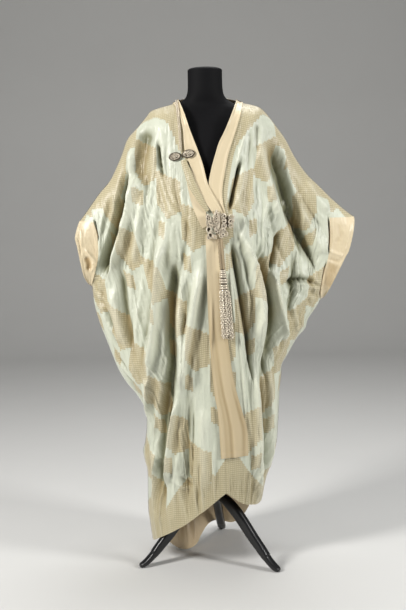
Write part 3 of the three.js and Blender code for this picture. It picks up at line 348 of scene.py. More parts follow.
def coatPoints(side, x, z, out=0.0, folds=None, lift=0.0):
    # points of the coat in millimetres, their way out, and how much folds raise them
    x, z = np.asarray(x, float), np.asarray(z, float)
    distance, outX, outZ = nearestOutline(x, z)
    radius = depthAt["roll"](z)
    q = np.minimum(distance / radius, 1)
    roll = np.sqrt(np.maximum(1 - (1 - q) ** 2, 0))
    depth = fullDepth(side, x, z)
    slopeX = (fullDepth(side, x + 2, z) - fullDepth(side, x - 2, z)) / 4
    slopeZ = (fullDepth(side, x, z + 2) - fullDepth(side, x, z - 2)) / 4
    turn = np.minimum(depth * (1 - q) / (radius * np.maximum(roll, 1e-3)), 400)
    normal = np.stack([turn * outX - slopeX * roll, np.full(len(x), float(side)),
                       turn * outZ - slopeZ * roll], 1)
    edge = distance < 0.05
    normal[edge] = np.stack([outX, np.zeros(len(x)), outZ], 1)[edge]
    normal /= np.linalg.norm(normal, axis=1)[:, None]
    if folds is not None:
        raised = foldHeights(folds, x, z)
    elif side > 0:
        raised = foldHeights(foldsBySide["back"], x, z)
    else:
        raised = np.where(x < shell["frontsMeet"], foldHeights(foldsBySide["right"], x, z),
                          foldHeights(foldsBySide["left"], x, z))
    fade = smooth(distance, 0, shell["foldFade"])
    points = np.stack([x, side * depth * roll, z], 1) + normal * ((raised + lift) * fade + out)[:, None]
    return points, normal, raised * fade


# meshes and materials

def material(name, base, roughness, metallic=0.0, **sockets):
    made = bpy.data.materials.new(name)
    made.use_nodes = True
    shader = made.node_tree.nodes["Principled BSDF"]
    shader.inputs["Base Color"].default_value = (*base, 1)
    shader.inputs["Roughness"].default_value = roughness
    shader.inputs["Metallic"].default_value = metallic
    for socket, value in sockets.items():
        shader.inputs[socket.replace("_", " ")].default_value = value
    return made, made.node_tree, shader


class Nodes:
    # short way to add and join shader nodes
    def __init__(self, tree):
        self.tree = tree

    def add(self, kind, *values, **settings):
        node = self.tree.nodes.new(kind)
        for name, value in settings.items():
            setattr(node, name, value)
        for k, value in enumerate(values):
            if value is not None:
                self.put(value, node.inputs[k])
        return node

    def put(self, value, socket):
        if isinstance(value, bpy.types.NodeSocket):
            self.tree.links.new(value, socket)
        else:
            socket.default_value = value

    def math(self, operation, *values):
        return self.add("ShaderNodeMath", *values, operation=operation).outputs[0]

    def times(self, a, b):
        return self.math("MULTIPLY", a, b)

    def plus(self, a, b):
        return self.math("ADD", a, b)

    def larger(self, a, b):
        return self.math("MAXIMUM", a, b)

    def isBelow(self, a, b):
        return self.math("LESS_THAN", a, b)

    def isAbove(self, a, b):
        return self.math("GREATER_THAN", a, b)

    def zigzag(self, value, period, height):
        # rises to the height and falls again once in each period
        return self.times(self.math("PINGPONG", self.times(value, 1.0 / period), 0.5), 2 * height)

    def mix(self, factor, a, b, blend="MIX"):
        node = self.add("ShaderNodeMix", data_type="RGBA", blend_type=blend)
        for socket, value in ((node.inputs[0], factor), (node.inputs[6], a), (node.inputs[7], b)):
            self.put(value, socket)
        return node.outputs[2]

    def noise(self, vector, scale, detail=2.0):
        node = self.add("ShaderNodeTexNoise")
        self.put(vector, node.inputs["Vector"])
        node.inputs["Scale"].default_value = scale
        node.inputs["Detail"].default_value = detail
        return node.outputs["Fac"]

    def streaks(self, vector, squeeze, scale, detail):
        # noise drawn out along the cloth
        drawnOut = self.add("ShaderNodeMapping", vector, None, None, (1.0, squeeze, 1.0)).outputs[0]
        return self.noise(drawnOut, scale, detail)

    def drape(self):
        # amount of painted shade by how deep in a fold the cloth lies, how far below the shoulder, and amount
        # of painted highlight by how high on a fold
        colour = self.add("ShaderNodeAttribute", attribute_name="drape").outputs["Color"]
        return self.add("ShaderNodeSeparateColor", colour).outputs

    def bump(self, height, strength, distance):
        node = self.add("ShaderNodeBump")
        node.inputs["Strength"].default_value = strength
        node.inputs["Distance"].default_value = distance
        self.put(height, node.inputs["Height"])
        return node.outputs["Normal"]


def meshObject(name, points, faces, materials, slots=None, uv=None, second=None, shade=None, top=None,
               crest=0.0, sharp=60):
    # points in millimetres from the pole; uv, second and top are per point, in metres
    mesh = bpy.data.meshes.new(name)
    faces = faces if isinstance(faces, list) else faces.tolist()
    mesh.from_pydata(((np.asarray(points) + shift) * mm).tolist(), [], faces)
    for made in materials:
        mesh.materials.append(made)
    if slots is not None:
        mesh.polygons.foreach_set("material_index", np.asarray(slots, np.int32))
    loops = np.empty(len(mesh.loops), np.int32)
    mesh.loops.foreach_get("vertex_index", loops)
    for layerName, values in (("cloth", uv), ("hem", second)):
        if values is not None:
            layer = mesh.uv_layers.new(name=layerName)
            layer.uv.foreach_set("vector", np.asarray(values, np.float32)[loops].ravel())
    # drape colour: red is painted shade, green the place below the shoulder, blue painted highlight
    if shade is not None:
        colour = mesh.color_attributes.new("drape", "FLOAT_COLOR", "POINT")
        values = np.ones((len(shade), 4), np.float32)
        values[:, 0] = shade
        values[:, 1] = 1.0 if top is None else top
        values[:, 2] = crest
        colour.data.foreach_set("color", values.ravel())
    mesh.polygons.foreach_set("use_smooth", np.ones(len(mesh.polygons), bool))
    mesh.set_sharp_from_angle(angle=math.radians(sharp))
    mesh.update()
    obj = bpy.data.objects.new(name, mesh)
    bpy.context.scene.collection.objects.link(obj)
    return obj


def gridFaces(rowCount, columnCount, start=0, closed=False):
    r, c = np.meshgrid(np.arange(rowCount - 1), np.arange(columnCount - (0 if closed else 1)), indexing="ij")
    r, c = r.ravel(), c.ravel()
    after = (c + 1) % columnCount
    a, b = start + r * columnCount + c, start + r * columnCount + after
    return np.stack([a, b, b + columnCount, a + columnCount], 1)


def closedTube(rings, sides, start=0, flipped=False):
    # faces round the rings and a cap at each end
    last = start + (rings - 1) * sides
    faces = gridFaces(rings, sides, start, closed=True).tolist()
    faces += [list(range(start, start + sides))[::-1], list(range(last, last + sides))]
    return [face[::-1] for face in faces] if flipped else faces


def clothShell(outer, inner, turned):
    # closed thin wall from two grids of the same size (rows, columns, 3)
    rowCount, columnCount = outer.shape[:2]
    count = rowCount * columnCount
    top = gridFaces(rowCount, columnCount)
    under = gridFaces(rowCount, columnCount, count)[:, ::-1]
    index = np.arange(count).reshape(rowCount, columnCount)
    rim = np.concatenate([index[0, :], index[1:, -1], index[-1, -2::-1], index[-2:0:-1, 0]])
    after = np.roll(rim, -1)
    side = np.stack([after, rim, rim + count, after + count], 1)
    faces = np.concatenate([top, under, side])
    if turned:
        faces = faces[:, ::-1]
    slots = np.concatenate([np.zeros(len(top)), np.ones(len(under)), np.zeros(len(side))])
    return np.concatenate([outer.reshape(-1, 3), inner.reshape(-1, 3)]), faces, slots


def arcLengths(grid, axis):
    steps = np.linalg.norm(np.diff(grid, axis=axis), axis=2)
    return np.concatenate([np.zeros_like(np.take(steps, [0], axis)), np.cumsum(steps, axis)], axis)


def clothPlaces(grid):
    # across and along the cloth, in metres
    return np.stack([arcLengths(grid, 1).ravel() * mm, arcLengths(grid, 0).ravel() * mm], 1)


def shellObject(name, outer, inner, turned, materials, uv, shade, second=None, top=None, crest=None,
                sharp=70):
    # a thin wall with the same cloth values on both of its faces
    points, faces, slots = clothShell(outer, inner, turned)
    values = {"uv": uv, "second": uv if second is None else second, "shade": shade, "top": top,
              "crest": crest}
    values = {key: np.concatenate([value] * 2) for key, value in values.items() if value is not None}
    return meshObject(name, points, faces, materials, slots, sharp=sharp, **values)


def finishPiece(obj, slotName, *nodes):
    # every piece stands still on the root and stands for its own solid
    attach(obj, "root")
    if nodes:
        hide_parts(*nodes)
    return obj


# cloth finishes

# the deep tones are painted shade for the hollows of folds, the crest tone a painted highlight for ridges
silkLook = {
    "ground": (0.585, 0.61, 0.50), "groundWorn": (0.56, 0.60, 0.50), "groundPaintedShade": (0.15, 0.148, 0.07),
    "gold": (0.56, 0.505, 0.335), "goldWorn": (0.50, 0.435, 0.27), "goldPaintedShade": (0.26, 0.20, 0.085),
    "goldLine": (0.25, 0.20, 0.105), "crest": (0.76, 0.76, 0.64), "thread": (0.32, 0.33, 0.26),
    "roughness": 0.40, "check": 0.0064, "line": 0.64, "block": (0.076, 0.116), "step": 0.98, "slant": 0.42,
    "repeat": 0.355, "hemTop": 0.07, "hemStep": 0.07, "hemPeriod": 0.16, "topBand": 0.012, "topStep": 0.085,
    "topPeriod": 0.22, "pleats": 5.5, "crinkle": -6.0, "weave": 0.3,
}
# each deep tone is painted shade for hollows, and also darkens random streaks
satinLook = {"light": (0.72, 0.635, 0.46), "deep": (0.34, 0.23, 0.10), "roughness": 0.37}
sashLook = {"light": (0.76, 0.665, 0.48), "deep": (0.25, 0.17, 0.06), "roughness": 0.26}
liningLook = {"light": (0.70, 0.57, 0.38), "deep": (0.36, 0.24, 0.12), "roughness": 0.36}


def silkMaterial(name, mirror, yoke, allGold=False):
    # yoke: width and drop of its slope, then width and drop of the strip beside the collar
    look = {key: (*value, 1) if np.size(value) == 3 else value for key, value in silkLook.items()}
    made, tree, shader = material(name, silkLook["ground"], look["roughness"], Sheen_Weight=0.25,
                                  Sheen_Roughness=0.45, Specular_IOR_Level=0.5)
    n = Nodes(tree)
    uv = n.add("ShaderNodeUVMap", uv_map="cloth").outputs[0]
    hem = n.add("ShaderNodeUVMap", uv_map="hem").outputs[0]
    valley, fromTop, crest = n.drape()
    place = n.add("ShaderNodeSeparateXYZ", uv).outputs
    fromHem, fromFront, _ = n.add("ShaderNodeSeparateXYZ", hem).outputs
    wide, tall = look["block"]
    check = look["check"]
    across = n.times(place[0], mirror / check)
    along = n.times(place[1], 1.0 / check)
    stepU = n.times(n.math("FLOOR", across), check)
    stepV = n.times(n.math("FLOOR", along), check)
    # chains of blocks, each one block over and one block down from the last
    columnPlace = n.plus(n.times(stepU, 1.0 / wide), 40.0)
    columnNumber = n.math("FLOOR", columnPlace)
    inColumn = n.math("FRACT", columnPlace)
    slid = n.plus(stepV, n.times(columnNumber, tall * look["step"]))
    slid = n.plus(slid, n.times(inColumn, tall * look["slant"]))
    inRepeat = n.times(n.math("FRACT", n.times(slid, 1.0 / look["repeat"])), look["repeat"])
    point = n.math("ABSOLUTE", n.math("SUBTRACT", n.times(inColumn, 2.0), 1.1))
    foot = n.plus(tall * 1.12, n.times(point, -tall * 0.3))  # longest near the block's middle
    block = n.isBelow(inRepeat, foot)
    small = n.math("COMPARE", inRepeat, tall * 1.46, tall * 0.2)  # a small block under each large one
    small = n.times(small, n.isAbove(inColumn, 0.6))
    block = n.larger(block, small)
    # border along the hem, its upper edge in steps
    hemSteps = n.zigzag(stepU, look["hemPeriod"], look["hemStep"])
    border = n.isBelow(fromHem, n.plus(look["hemTop"], hemSteps))
    # the yoke over the shoulders, narrowing down beside the collar
    yokeWide, yokeTall, stripWide, stripTall = yoke
    aside = n.times(n.math("SNAP", fromFront, check), 1.0 / yokeWide)
    down = n.times(stepV, 1.0 / yokeTall)
    yokeArea = n.isBelow(n.plus(aside, down), 1.0)
    strip = n.isBelow(fromFront, stripWide)
    yokeArea = n.larger(yokeArea, n.times(strip, n.isBelow(stepV, stripTall)))
    ridge = n.zigzag(stepU, look["topPeriod"], look["topStep"])
    yokeArea = n.larger(yokeArea, n.isBelow(fromTop, n.plus(look["topBand"], ridge)))
    gold = n.larger(n.larger(block, border), yokeArea)
    if allGold:
        gold = n.larger(gold, 1.0)
    # small woven check
    lineU = n.isAbove(n.math("FRACT", across), look["line"])
    lineV = n.isAbove(n.math("FRACT", along), look["line"])
    lines = n.larger(n.times(lineU, 0.6), lineV)
    threads = n.streaks(uv, 0.06, 900.0, 1.0)
    cloud = n.noise(uv, 7.0, 3.0)
    goldTone = n.mix(n.times(lines, 0.62), look["gold"], look["goldLine"])
    goldTone = n.mix(n.times(cloud, 0.4), goldTone, look["goldWorn"])
    groundTone = n.mix(n.times(cloud, 0.4), look["ground"], look["groundWorn"])
    tone = n.mix(gold, groundTone, goldTone)
    # dark tones for the painted shade
    deep = n.mix(gold, look["groundPaintedShade"], look["goldPaintedShade"])
    # painted highlight on the crests of folds
    tone = n.mix(n.times(crest, 0.34), tone, look["crest"])
    # painted shade in the hollows of folds
    tone = n.mix(n.times(valley, 0.88), tone, deep)
    tone = n.mix(n.times(threads, 0.16), tone, look["thread"], "MULTIPLY")
    n.put(tone, shader.inputs["Base Color"])
    weave = n.plus(n.times(threads, 0.5), n.times(n.times(lines, gold), -0.9))
    weave = n.plus(weave, n.times(gold, 0.8))
    pleats = n.streaks(uv, 0.13, 75.0, 3.0)
    crinkle = n.math("ABSOLUTE", n.math("SUBTRACT", n.noise(uv, 34.0, 4.0), 0.5))
    height = n.plus(n.times(pleats, look["pleats"]), n.times(crinkle, look["crinkle"]))
    height = n.plus(n.times(weave, look["weave"]), height)
    n.put(n.bump(height, 0.6, 0.001), shader.inputs["Normal"])
    return made


def satinMaterial(name, look, crinkle=0.35):
    made, tree, shader = material(name, look["light"], look["roughness"], Sheen_Weight=0.12,
                                  Specular_IOR_Level=0.55, Anisotropic=0.35)
    n = Nodes(tree)
    uv = n.add("ShaderNodeUVMap", uv_map="cloth").outputs[0]
    streaks = n.streaks(uv, 0.12, 70.0, 3.0)
    cloud = n.noise(uv, 11.0, 2.0)
    threads = n.streaks(uv, 0.04, 1400.0, 1.0)
    valley = n.drape()[0]
    light, deep = (*look["light"], 1), (*look["deep"], 1)
    tan = (*(share * c for share, c in zip((0.84, 0.78, 0.68), look["light"])), 1)
    tone = n.mix(n.times(n.noise(uv, 5.0, 2.0), 0.9), light, tan)
    tone = n.mix(n.times(cloud, 0.3), tone, tan)
    tone = n.mix(n.times(streaks, 0.09), tone, deep)
    # painted shade in hollows
    tone = n.mix(n.times(valley, 0.8), tone, deep)
    n.put(tone, shader.inputs["Base Color"])
    height = n.plus(n.times(streaks, 1.1), n.times(threads, 0.35))
    height = n.plus(height, n.times(n.noise(uv, 26.0, 3.0), 3.2))
    n.put(n.bump(height, crinkle, 0.001), shader.inputs["Normal"])
    return made


def plainMaterial(name, base, roughness, grain, depth, metallic=0.0, tint=None, **sockets):
    made, tree, shader = material(name, base, roughness, metallic, **sockets)
    n = Nodes(tree)
    place = n.add("ShaderNodeTexCoord").outputs["Object"]
    speck = n.noise(place, grain, 3.0)
    other = tint or tuple(0.6 * c for c in base)
    n.put(n.mix(speck, (*base, 1), (*other, 1)), shader.inputs["Base Color"])
    n.put(n.bump(speck, 0.4, depth), shader.inputs["Normal"])
    return made


silkRight = silkMaterial("silk_right_front", -1.0, (0.075, 0.27, 0.0, 0.0))
silkLeft = silkMaterial("silk_left_front", 1.0, (0.095, 0.24, 0.016, 0.42))
silkBack = silkMaterial("silk_back", 1.0, (0.34, 0.16, 0.0, 0.0))
silkGold = silkMaterial("silk_gold_edge", 1.0, (0.1, 0.1, 0.0, 0.0), allGold=True)
satin = satinMaterial("cream_satin", satinLook)
satinTan = satinMaterial("tan_satin", sashLook)
satinLining = satinMaterial("satin_lining", liningLook)
metalThread = plainMaterial("metal_thread_cord", (0.86, 0.80, 0.68), 0.28, 700.0, 0.0005, metallic=0.4,
                            tint=(0.36, 0.29, 0.20))
# dark cord: the ovals' own dark outer rim, and painted shade on the pads and the tassel's core that show in
# gaps
darkCordAndPaintedShade = plainMaterial("dark_cord_and_painted_shade", (0.15, 0.12, 0.085), 0.45, 900.0, 0.0004, metallic=0.3,
                           tint=(0.05, 0.038, 0.025))
tanThread = plainMaterial("tan_braid_thread", (0.50, 0.41, 0.27), 0.42, 900.0, 0.0004, metallic=0.15,
                          tint=(0.22, 0.16, 0.09))
formCloth = plainMaterial("form_covering", (0.006, 0.006, 0.007), 0.7, 1500.0, 0.0002,
                          Specular_IOR_Level=0.1)
standPaint = plainMaterial("stand_paint", (0.005, 0.005, 0.006), 0.34, 300.0, 0.0001, Coat_Weight=0.1)
print("materials made")


# panels of the coat

panelGrid = {"rows": 250, "headRows": 21, "columns": 150, "backColumns": 190, "cuffTop": 0.055,
             "cuffFoot": 0.33, "meeting": 0.36, "neckStops": (0.42, 0.58), "neckRight": 97, "neckLeft": 112,
             "foldGap": 0.4, "meetingGap": 0.25, "backGap": 2}
wrinkleHeights = {"broad": 6.5, "fine": 4.0, "crumple": 1.8, "pleat": 2.0, "largeFacet": 9, "smallFacet": 4}


def edgeLine(stretches, stops, places):
    # one edge of a panel made of several curves, each between two stops
    places = np.asarray(places)
    out = np.empty((len(places), 2))
    for k, stretch in enumerate(stretches):
        chosen = (places >= stops[k] if k == 0 else places > stops[k]) & (places <= stops[k + 1])
        if chosen.any():
            out[chosen] = alongCurve(stretch, (places[chosen] - stops[k]) / (stops[k + 1] - stops[k]))
    return out


def coonsGrid(top, bottom, start, end, u, v):
    # fills the inside between four edges
    u, v = u[None, :, None], v[:, None, None]
    edges = top[None] * (1 - v) + bottom[None] * v + start[:, None] * (1 - u) + end[:, None] * u
    return (edges - top[0] * (1 - u) * (1 - v) - top[-1] * u * (1 - v)
            - bottom[0] * (1 - u) * v - bottom[-1] * u * v)


def onShoulder(name, x):
    # the point of the shoulder's outline at x
    line = curveOf(outlineTable[name], np.linspace(0, 1, 400))
    return x, float(np.interp(abs(x), np.abs(line[:, 0]), line[:, 1]))


def beyond(name, x):
    # the rest of an outline, from just past x
    line = curveOf(outlineTable[name], np.linspace(0, 1, 60))
    return [tuple(point) for point in line if abs(point[0]) > abs(x) + 4]


def panelRows():
    # closer rows near the shoulder
    cuffTop, headRows = panelGrid["cuffTop"], panelGrid["headRows"]
    head = cuffTop * np.linspace(0, 1, headRows + 1)[:-1] ** 1.7
    return np.concatenate([head, np.linspace(cuffTop, 1, panelGrid["rows"] - headRows)])


# where trims lie on the cloth it stays flat: a curve through three points, and how wide
flatZones = [(12, 1190, 34, 680, 70, 240, 105, 1, 0), (-84, 1480, -80, 1330, -70, 1170, 45, 1, 0),
             (-104, 1330, -48, 1160, 48, 960, 80, 1, 0)]


def looseness(side, u, v, x, z, centre):
    # 0 where the cloth is held flat by a seam or a trim, 1 where it hangs free
    free = smooth(v, 0.02, 0.13) * smooth(1 - v, -0.03, 0.04)
    mouth = smooth(v, 0.02, 0.06) * smooth(0.37 - v, 0, 0.04)
    for edge in ((u, 1 - u) if centre else (1 - u,)):
        free = free * (1 - mouth * (1 - smooth(edge, 0, 0.07)))
    if side < 0:
        free = free * smooth(u, -0.01, 0.08) * (1 - np.minimum(2.2 * foldHeights(flatZones, x, z), 1))
    return free


# where the sleeves' feet gather into small facets
crumpleZones = [(215, 880, 280, 862, 345, 850, 62, 1, 0), (250, 740, 285, 720, 315, 700, 40, 0.8, 0),
                (-352, 905, -335, 850, -300, 780, 50, 1, 0), (-250, 650, -225, 590, -210, 520, 34, 0.8, 0),
                (-60, 270, -100, 280, -150, 290, 40, 0.8, 0)]


def crumples(x, z, seed):
    facet = lambda size, step: (1 - np.abs(softNoise(x / size, z / size + 0.4 * x / size, seed + step))) ** 2
    large, small = facet(30, 11) - 0.4, facet(15, 12) - 0.4
    return foldHeights(crumpleZones, x, z) * (wrinkleHeights["largeFacet"] * large
                                              + wrinkleHeights["smallFacet"] * small)


def wrinkles(u, v, seed):
    # long crested folds, finer ones between them, and small crumples of worn silk
    warp = softNoise(u * 4, v * 3, seed + 7)
    crest = lambda noise, power: (1 - np.abs(noise)) ** power
    broad = crest(softNoise(u * 11 + warp, v * 1.9 + 5, seed), 3) - 0.35
    fine = crest(softNoise(u * 27 + 2 * warp, v * 4.5, seed + 1), 4) - 0.3
    fine *= smooth(softNoise(u * 6, v * 3, seed + 2), -0.4, 0.5)
    crumple = softNoise(u * 46, v * 38, seed + 3) * smooth(softNoise(u * 5, v * 7, seed + 4), 0.1, 0.8)
    pleat = crest(softNoise(u * 52 + 3 * warp, v * 9, seed + 5), 3) - 0.3
    return (wrinkleHeights["broad"] * broad + wrinkleHeights["fine"] * fine
            + wrinkleHeights["crumple"] * crumple + wrinkleHeights["pleat"] * pleat)


def panelEdges(sideName, v):
    sign = -1 if sideName == "Right" else 1
    stops = [0, panelGrid["cuffTop"], panelGrid["cuffFoot"], 1]
    seam, edge = cuffLines["seam" + sideName], cuffLines["edge" + sideName]
    side = edgeLine([[edge[0], seam[0]], seam, outlineTable["side" + sideName][1:]], stops, v)
    start = onShoulder("shoulder" + sideName, sign * panelGrid["neck" + sideName])
    top = [start, *beyond("shoulder" + sideName, start[0])]
    return side, top, start


def frontPanel(name, sideName, made, folds, seed):
    sign = -1 if sideName == "Right" else 1
    t = np.linspace(0, 1, panelGrid["columns"])
    u = 0.35 * t + 0.65 * (1 - (1 - t) ** 1.5)  # columns crowd towards the side
    v = panelRows()
    side, top, start = panelEdges(sideName, v)
    # the panel ends a little short of the collar's fold and of the other front
    fold = [start, *[(x + sign * panelGrid["foldGap"], z) for x, z in neckLines["fold" + sideName][1:]]]
    meeting = [(x + sign * panelGrid["meetingGap"], z) for x, z in neckLines["meeting"]]
    front = edgeLine([[*fold, meeting[0]], meeting], [0, panelGrid["meeting"], 1], v)
    hem = [(meeting[-1][0], meeting[-1][1]), *hemLines[sideName.lower()][1:]]
    flat = coonsGrid(alongCurve(top, u), alongCurve(hem, u), front, side, u, v)
    return wallPanel(name, -1, flat, u, v, made, folds, seed, sign)


grainGrid = {"step": 6.0, "left": -440, "right": 461, "top": 1440, "foot": -7, "evening": 60}


def evened(values, times):
    # smooths each row between its neighbours, the outer columns held
    values = values.copy()
    for _ in range(times):
        values[:, 1:-1] = 0.5 * values[:, 1:-1] + 0.25 * (values[:, :-2] + values[:, 2:])
    return values


def straightGrain(side):
    # how much cloth lies between any point and the middle, and the shoulder, along the weave
    step, left, top = grainGrid["step"], grainGrid["left"], grainGrid["top"]
    x, z = np.arange(left, grainGrid["right"], step), np.arange(top, grainGrid["foot"], -step)
    px, pz = (places.ravel() for places in np.meshgrid(x, z))
    shoulder = np.concatenate([outlines[1][::-1], outlines[0]])
    above = pz > np.interp(px, shoulder[:, 0], shoulder[:, 1])

    def grid(folds):
        points = coatPoints(side, px, pz, folds=folds)[0]
        points[above] = np.stack([px[above], 0 * px[above], pz[above]], 1)
        return points.reshape(len(z), len(x), 3)
    plain, folded = grid([]), grid(None)
    across, down = 0.5 * arcLengths(plain, 1) + 0.5 * arcLengths(folded, 1), arcLengths(plain, 0)
    across = across - across[:, [int(np.abs(x).argmin())]]
    # the weave runs straight over a fold's uneven depth
    across, down = evened(across.T, grainGrid["evening"]).T, evened(down, grainGrid["evening"])

    def at(px, pz):
        i, j = (top - pz) / step, (px - left) / step
        a, b = np.clip(i.astype(int), 0, len(z) - 2), np.clip(j.astype(int), 0, len(x) - 2)
        s, t = i - a, j - b
        blend = lambda f: ((f[a, b] * (1 - t) + f[a, b + 1] * t) * (1 - s)
                           + (f[a + 1, b] * (1 - t) + f[a + 1, b + 1] * t) * s)
        return blend(across), blend(down)
    return at


# how strongly painted shade darkens hollows and painted highlight lightens ridges on the silk, and the
# heights that count as full
shading = {"valley": 30, "crest": 28, "nearShare": 0.7, "nearValley": 7, "nearCrest": 6, "evening": 50}


def wallPanel(name, side, flat, u, v, made, folds, seed, sign, centre=False):
    # silk wall on the coat's surface; centre is for a panel that spans both sides
    x, z = flat[..., 0].ravel(), flat[..., 1].ravel()
    vv, uu = (a.ravel() for a in np.meshgrid(v, u, indexing="ij"))
    lift = wrinkles(uu if not centre else uu * 2, vv, seed) * looseness(side, uu, vv, x, z, centre)
    lift = lift + crumples(x, z, seed) if side < 0 else lift
    points, normal, raised = coatPoints(side, x, z, folds=folds, lift=lift)
    shape = (len(v), len(u), 3)
    outer = points.reshape(shape)
    inner = (points - normal * shell["wall"]).reshape(shape)
    across, along = arcLengths(outer, 1), arcLengths(outer, 0)
    uv = np.stack(straightGrain(side)(x, z), 1) * mm
    if centre:
        across = np.abs(across - across[:, [across.shape[1] // 2]])
    fromEdges = np.stack([(along[[-1]] - along).ravel(), across.ravel()], 1) * mm
    height = raised + 0.8 * lift
    detail = height - evened(height.reshape(shape[:2]), shading["evening"]).ravel()
    # painted shade in hollows and painted highlight on crests, from the fold height and its finer detail
    valley = (np.clip(-height / shading["valley"], 0, 1)
              + shading["nearShare"] * np.clip(-detail / shading["nearValley"], 0, 1))
    crest = (np.clip(height / shading["crest"], 0, 1)
             + shading["nearShare"] * np.clip(detail / shading["nearCrest"], 0, 1))
    return shellObject(name, outer, inner, side * sign > 0, [made, satinLining], uv, np.minimum(valley, 1),
                       fromEdges, along.ravel() * mm, np.minimum(crest, 1), sharp=60)


frontRight = finishPiece(frontPanel("right_front", "Right", silkRight, foldsBySide["right"], 11), "silk",
                         "coat_front_right")
frontLeft = finishPiece(frontPanel("left_front", "Left", silkLeft, foldsBySide["left"], 23), "silk",
                        "coat_front_left")


def backPanel():
    t = np.linspace(0, 1, panelGrid["backColumns"])
    # columns crowd towards both sides
    u = 0.5 * t + 0.5 * np.where(t < 0.5, 0.5 * (2 * t) ** 1.5, 1 - 0.5 * (2 - 2 * t) ** 1.5)
    v = panelRows()
    sideRight, topRight, startRight = panelEdges("Right", v)
    sideLeft, topLeft, startLeft = panelEdges("Left", v)
    fold = [startRight, *[(x, z - panelGrid["backGap"]) for x, z in neckLines["backFold"][1:-1]], startLeft]
    top = edgeLine([topRight[::-1], fold, topLeft], [0, *panelGrid["neckStops"], 1], u)
    flat = coonsGrid(top, alongCurve(hemLines["back"], u), sideRight, sideLeft, u, v)
    return wallPanel("back", 1, flat, u, v, silkBack, foldsBySide["back"], 37, 1, centre=True), flat


backObject, backFlat = backPanel()
finishPiece(backObject, "silk", "coat_back")
print("panels made")


# strips of satin: collar, cuffs, sash end, facing, lining

def rolledEdge(count, width):
    # a rounded swelling just inside both edges of a strip, 0 in its middle
    place = np.arange(count)
    edge = np.minimum(place, place[::-1]) / (count - 1)
    return np.sqrt(np.clip(1 - (edge / width - 0.6) ** 2, 0, 1))


def stripWall(name, side, flat, under, wall, materials, turned, folds=None, rollEdges=0.0, lift=None,
              shadeFrom=None):
    rowCount, columnCount = flat.shape[:2]
    x, z = flat[..., 0].ravel(), flat[..., 1].ravel()
    base, normal, raised = coatPoints(side, x, z, folds=folds)
    # under is the gap to the coat, lift the strip's own waves
    height = np.broadcast_to(under, (rowCount, columnCount)).ravel()
    extra = np.zeros(rowCount * columnCount) if lift is None else lift.ravel()
    inner = (base + normal * (height + extra)[:, None]).reshape(rowCount, columnCount, 3)
    thick = np.full((rowCount, columnCount), wall)
    if rollEdges:
        thick = thick + rollEdges * rolledEdge(columnCount, 0.12)[None, :]
    outer = inner + normal.reshape(rowCount, columnCount, 3) * thick[..., None]
    # painted shade in hollows, unless the strip brings its own
    valley = np.clip(-(raised * 0.5 + extra) / 12, 0, 1) if shadeFrom is None else shadeFrom.ravel()
    return shellObject(name, outer, inner, turned, materials, clothPlaces(outer), valley)


def between(first, second, rowPlaces, columnPlaces):
    # grid of a strip between its two edges
    a, b = alongCurve(first, rowPlaces), alongCurve(second, rowPlaces)
    c = np.asarray(columnPlaces)[None, :, None]
    return a[:, None] * (1 - c) + b[:, None] * c


trimFolds = {"right": mainFoldsRight, "left": mainFoldsLeft, "back": mainFoldsBack}
collarShape = {"rows": 150, "columns": 22, "wall": 2.2, "under": -0.4, "overlap": 3.2, "roll": 1.6}


def collarBand(name, side, edge, fold, over, crowd, node, seed, turned):
    places = crowd(np.linspace(0, 1, collarShape["rows"]))
    across = np.linspace(0, 1, collarShape["columns"])
    flat = between(edge, fold, places, across)
    p, c = np.meshgrid(places, across, indexing="ij")
    lift = 0.9 * softNoise(c * 3, p * 12, seed) * np.sin(np.pi * c)
    under = collarShape["under"] + over * smooth(places, 0.5, 0.66)[:, None]
    obj = stripWall(name, side, flat, under, collarShape["wall"], [satin, satinLining], turned,
                    folds=trimFolds[node.split("_")[1]], rollEdges=collarShape["roll"], lift=lift)
    return finishPiece(obj, "satin", node)


# rows crowd together where a band meets the shoulder
toNeck = lambda t: t ** 1.6
toNecks = lambda t: np.where(t < 0.5, 0.5 * (2 * t) ** 1.6, 1 - 0.5 * (2 - 2 * t) ** 1.6)
collarLeft = collarBand("collar_band_left", -1, neckLines["edgeLeft"], neckLines["foldLeft"], 0, toNeck,
                        "collar_left", 3, False)
collarRight = collarBand("collar_band_right", -1, neckLines["edgeRight"], neckLines["foldRight"],
                         collarShape["overlap"], toNeck, "collar_right", 5, True)
collarBack = collarBand("collar_band_back", 1, neckLines["backNeck"], neckLines["backFold"], 0, toNecks,
                        "collar_back", 7, False)

cuffShape = {"rows": 90, "columns": 44, "wall": 1.9, "roll": 1.2, "crinkle": 0.7}
cuffFolds = {
    "Right": [(-374, 984, -354, 962, -338, 940, 10, 5, 0.6), (-372, 962, -360, 940, -364, 914, 11, -6, 0.3),
              (-352, 944, -346, 928, -358, 910, 9, 3, 0.6), (-388, 1050, -380, 1020, -384, 985, 7, 2, 0.6),
              (-392, 1016, -386, 990, -384, 960, 5, -3, 0.6)],
    "Left": [(434, 1058, 424, 1000, 407, 946, 5, 2.5, 0.8), (360, 964, 386, 952, 410, 946, 11, 4, 0.7),
             (360, 942, 380, 932, 400, 930, 10, -3.5, 0.3), (392, 1046, 398, 1010, 384, 980, 13, -2.5, 0.1),
             (352, 925, 345, 880, 338, 830, 7, 2, 0.3)],
}
# painted shade on the parts of the cuffs that turn away from the light and look tan
cuffPaintedShade = {
    "Right": [(-371, 958, -363, 938, -365, 914, 13, 1.1, 0), (-344, 990, -338, 950, -346, 912, 9, 0.35, 0)],
    "Left": [(382, 928, 368, 892, 352, 836, 36, 0.75, 0), (366, 1040, 372, 1000, 364, 960, 8, 0.25, 0)],
}


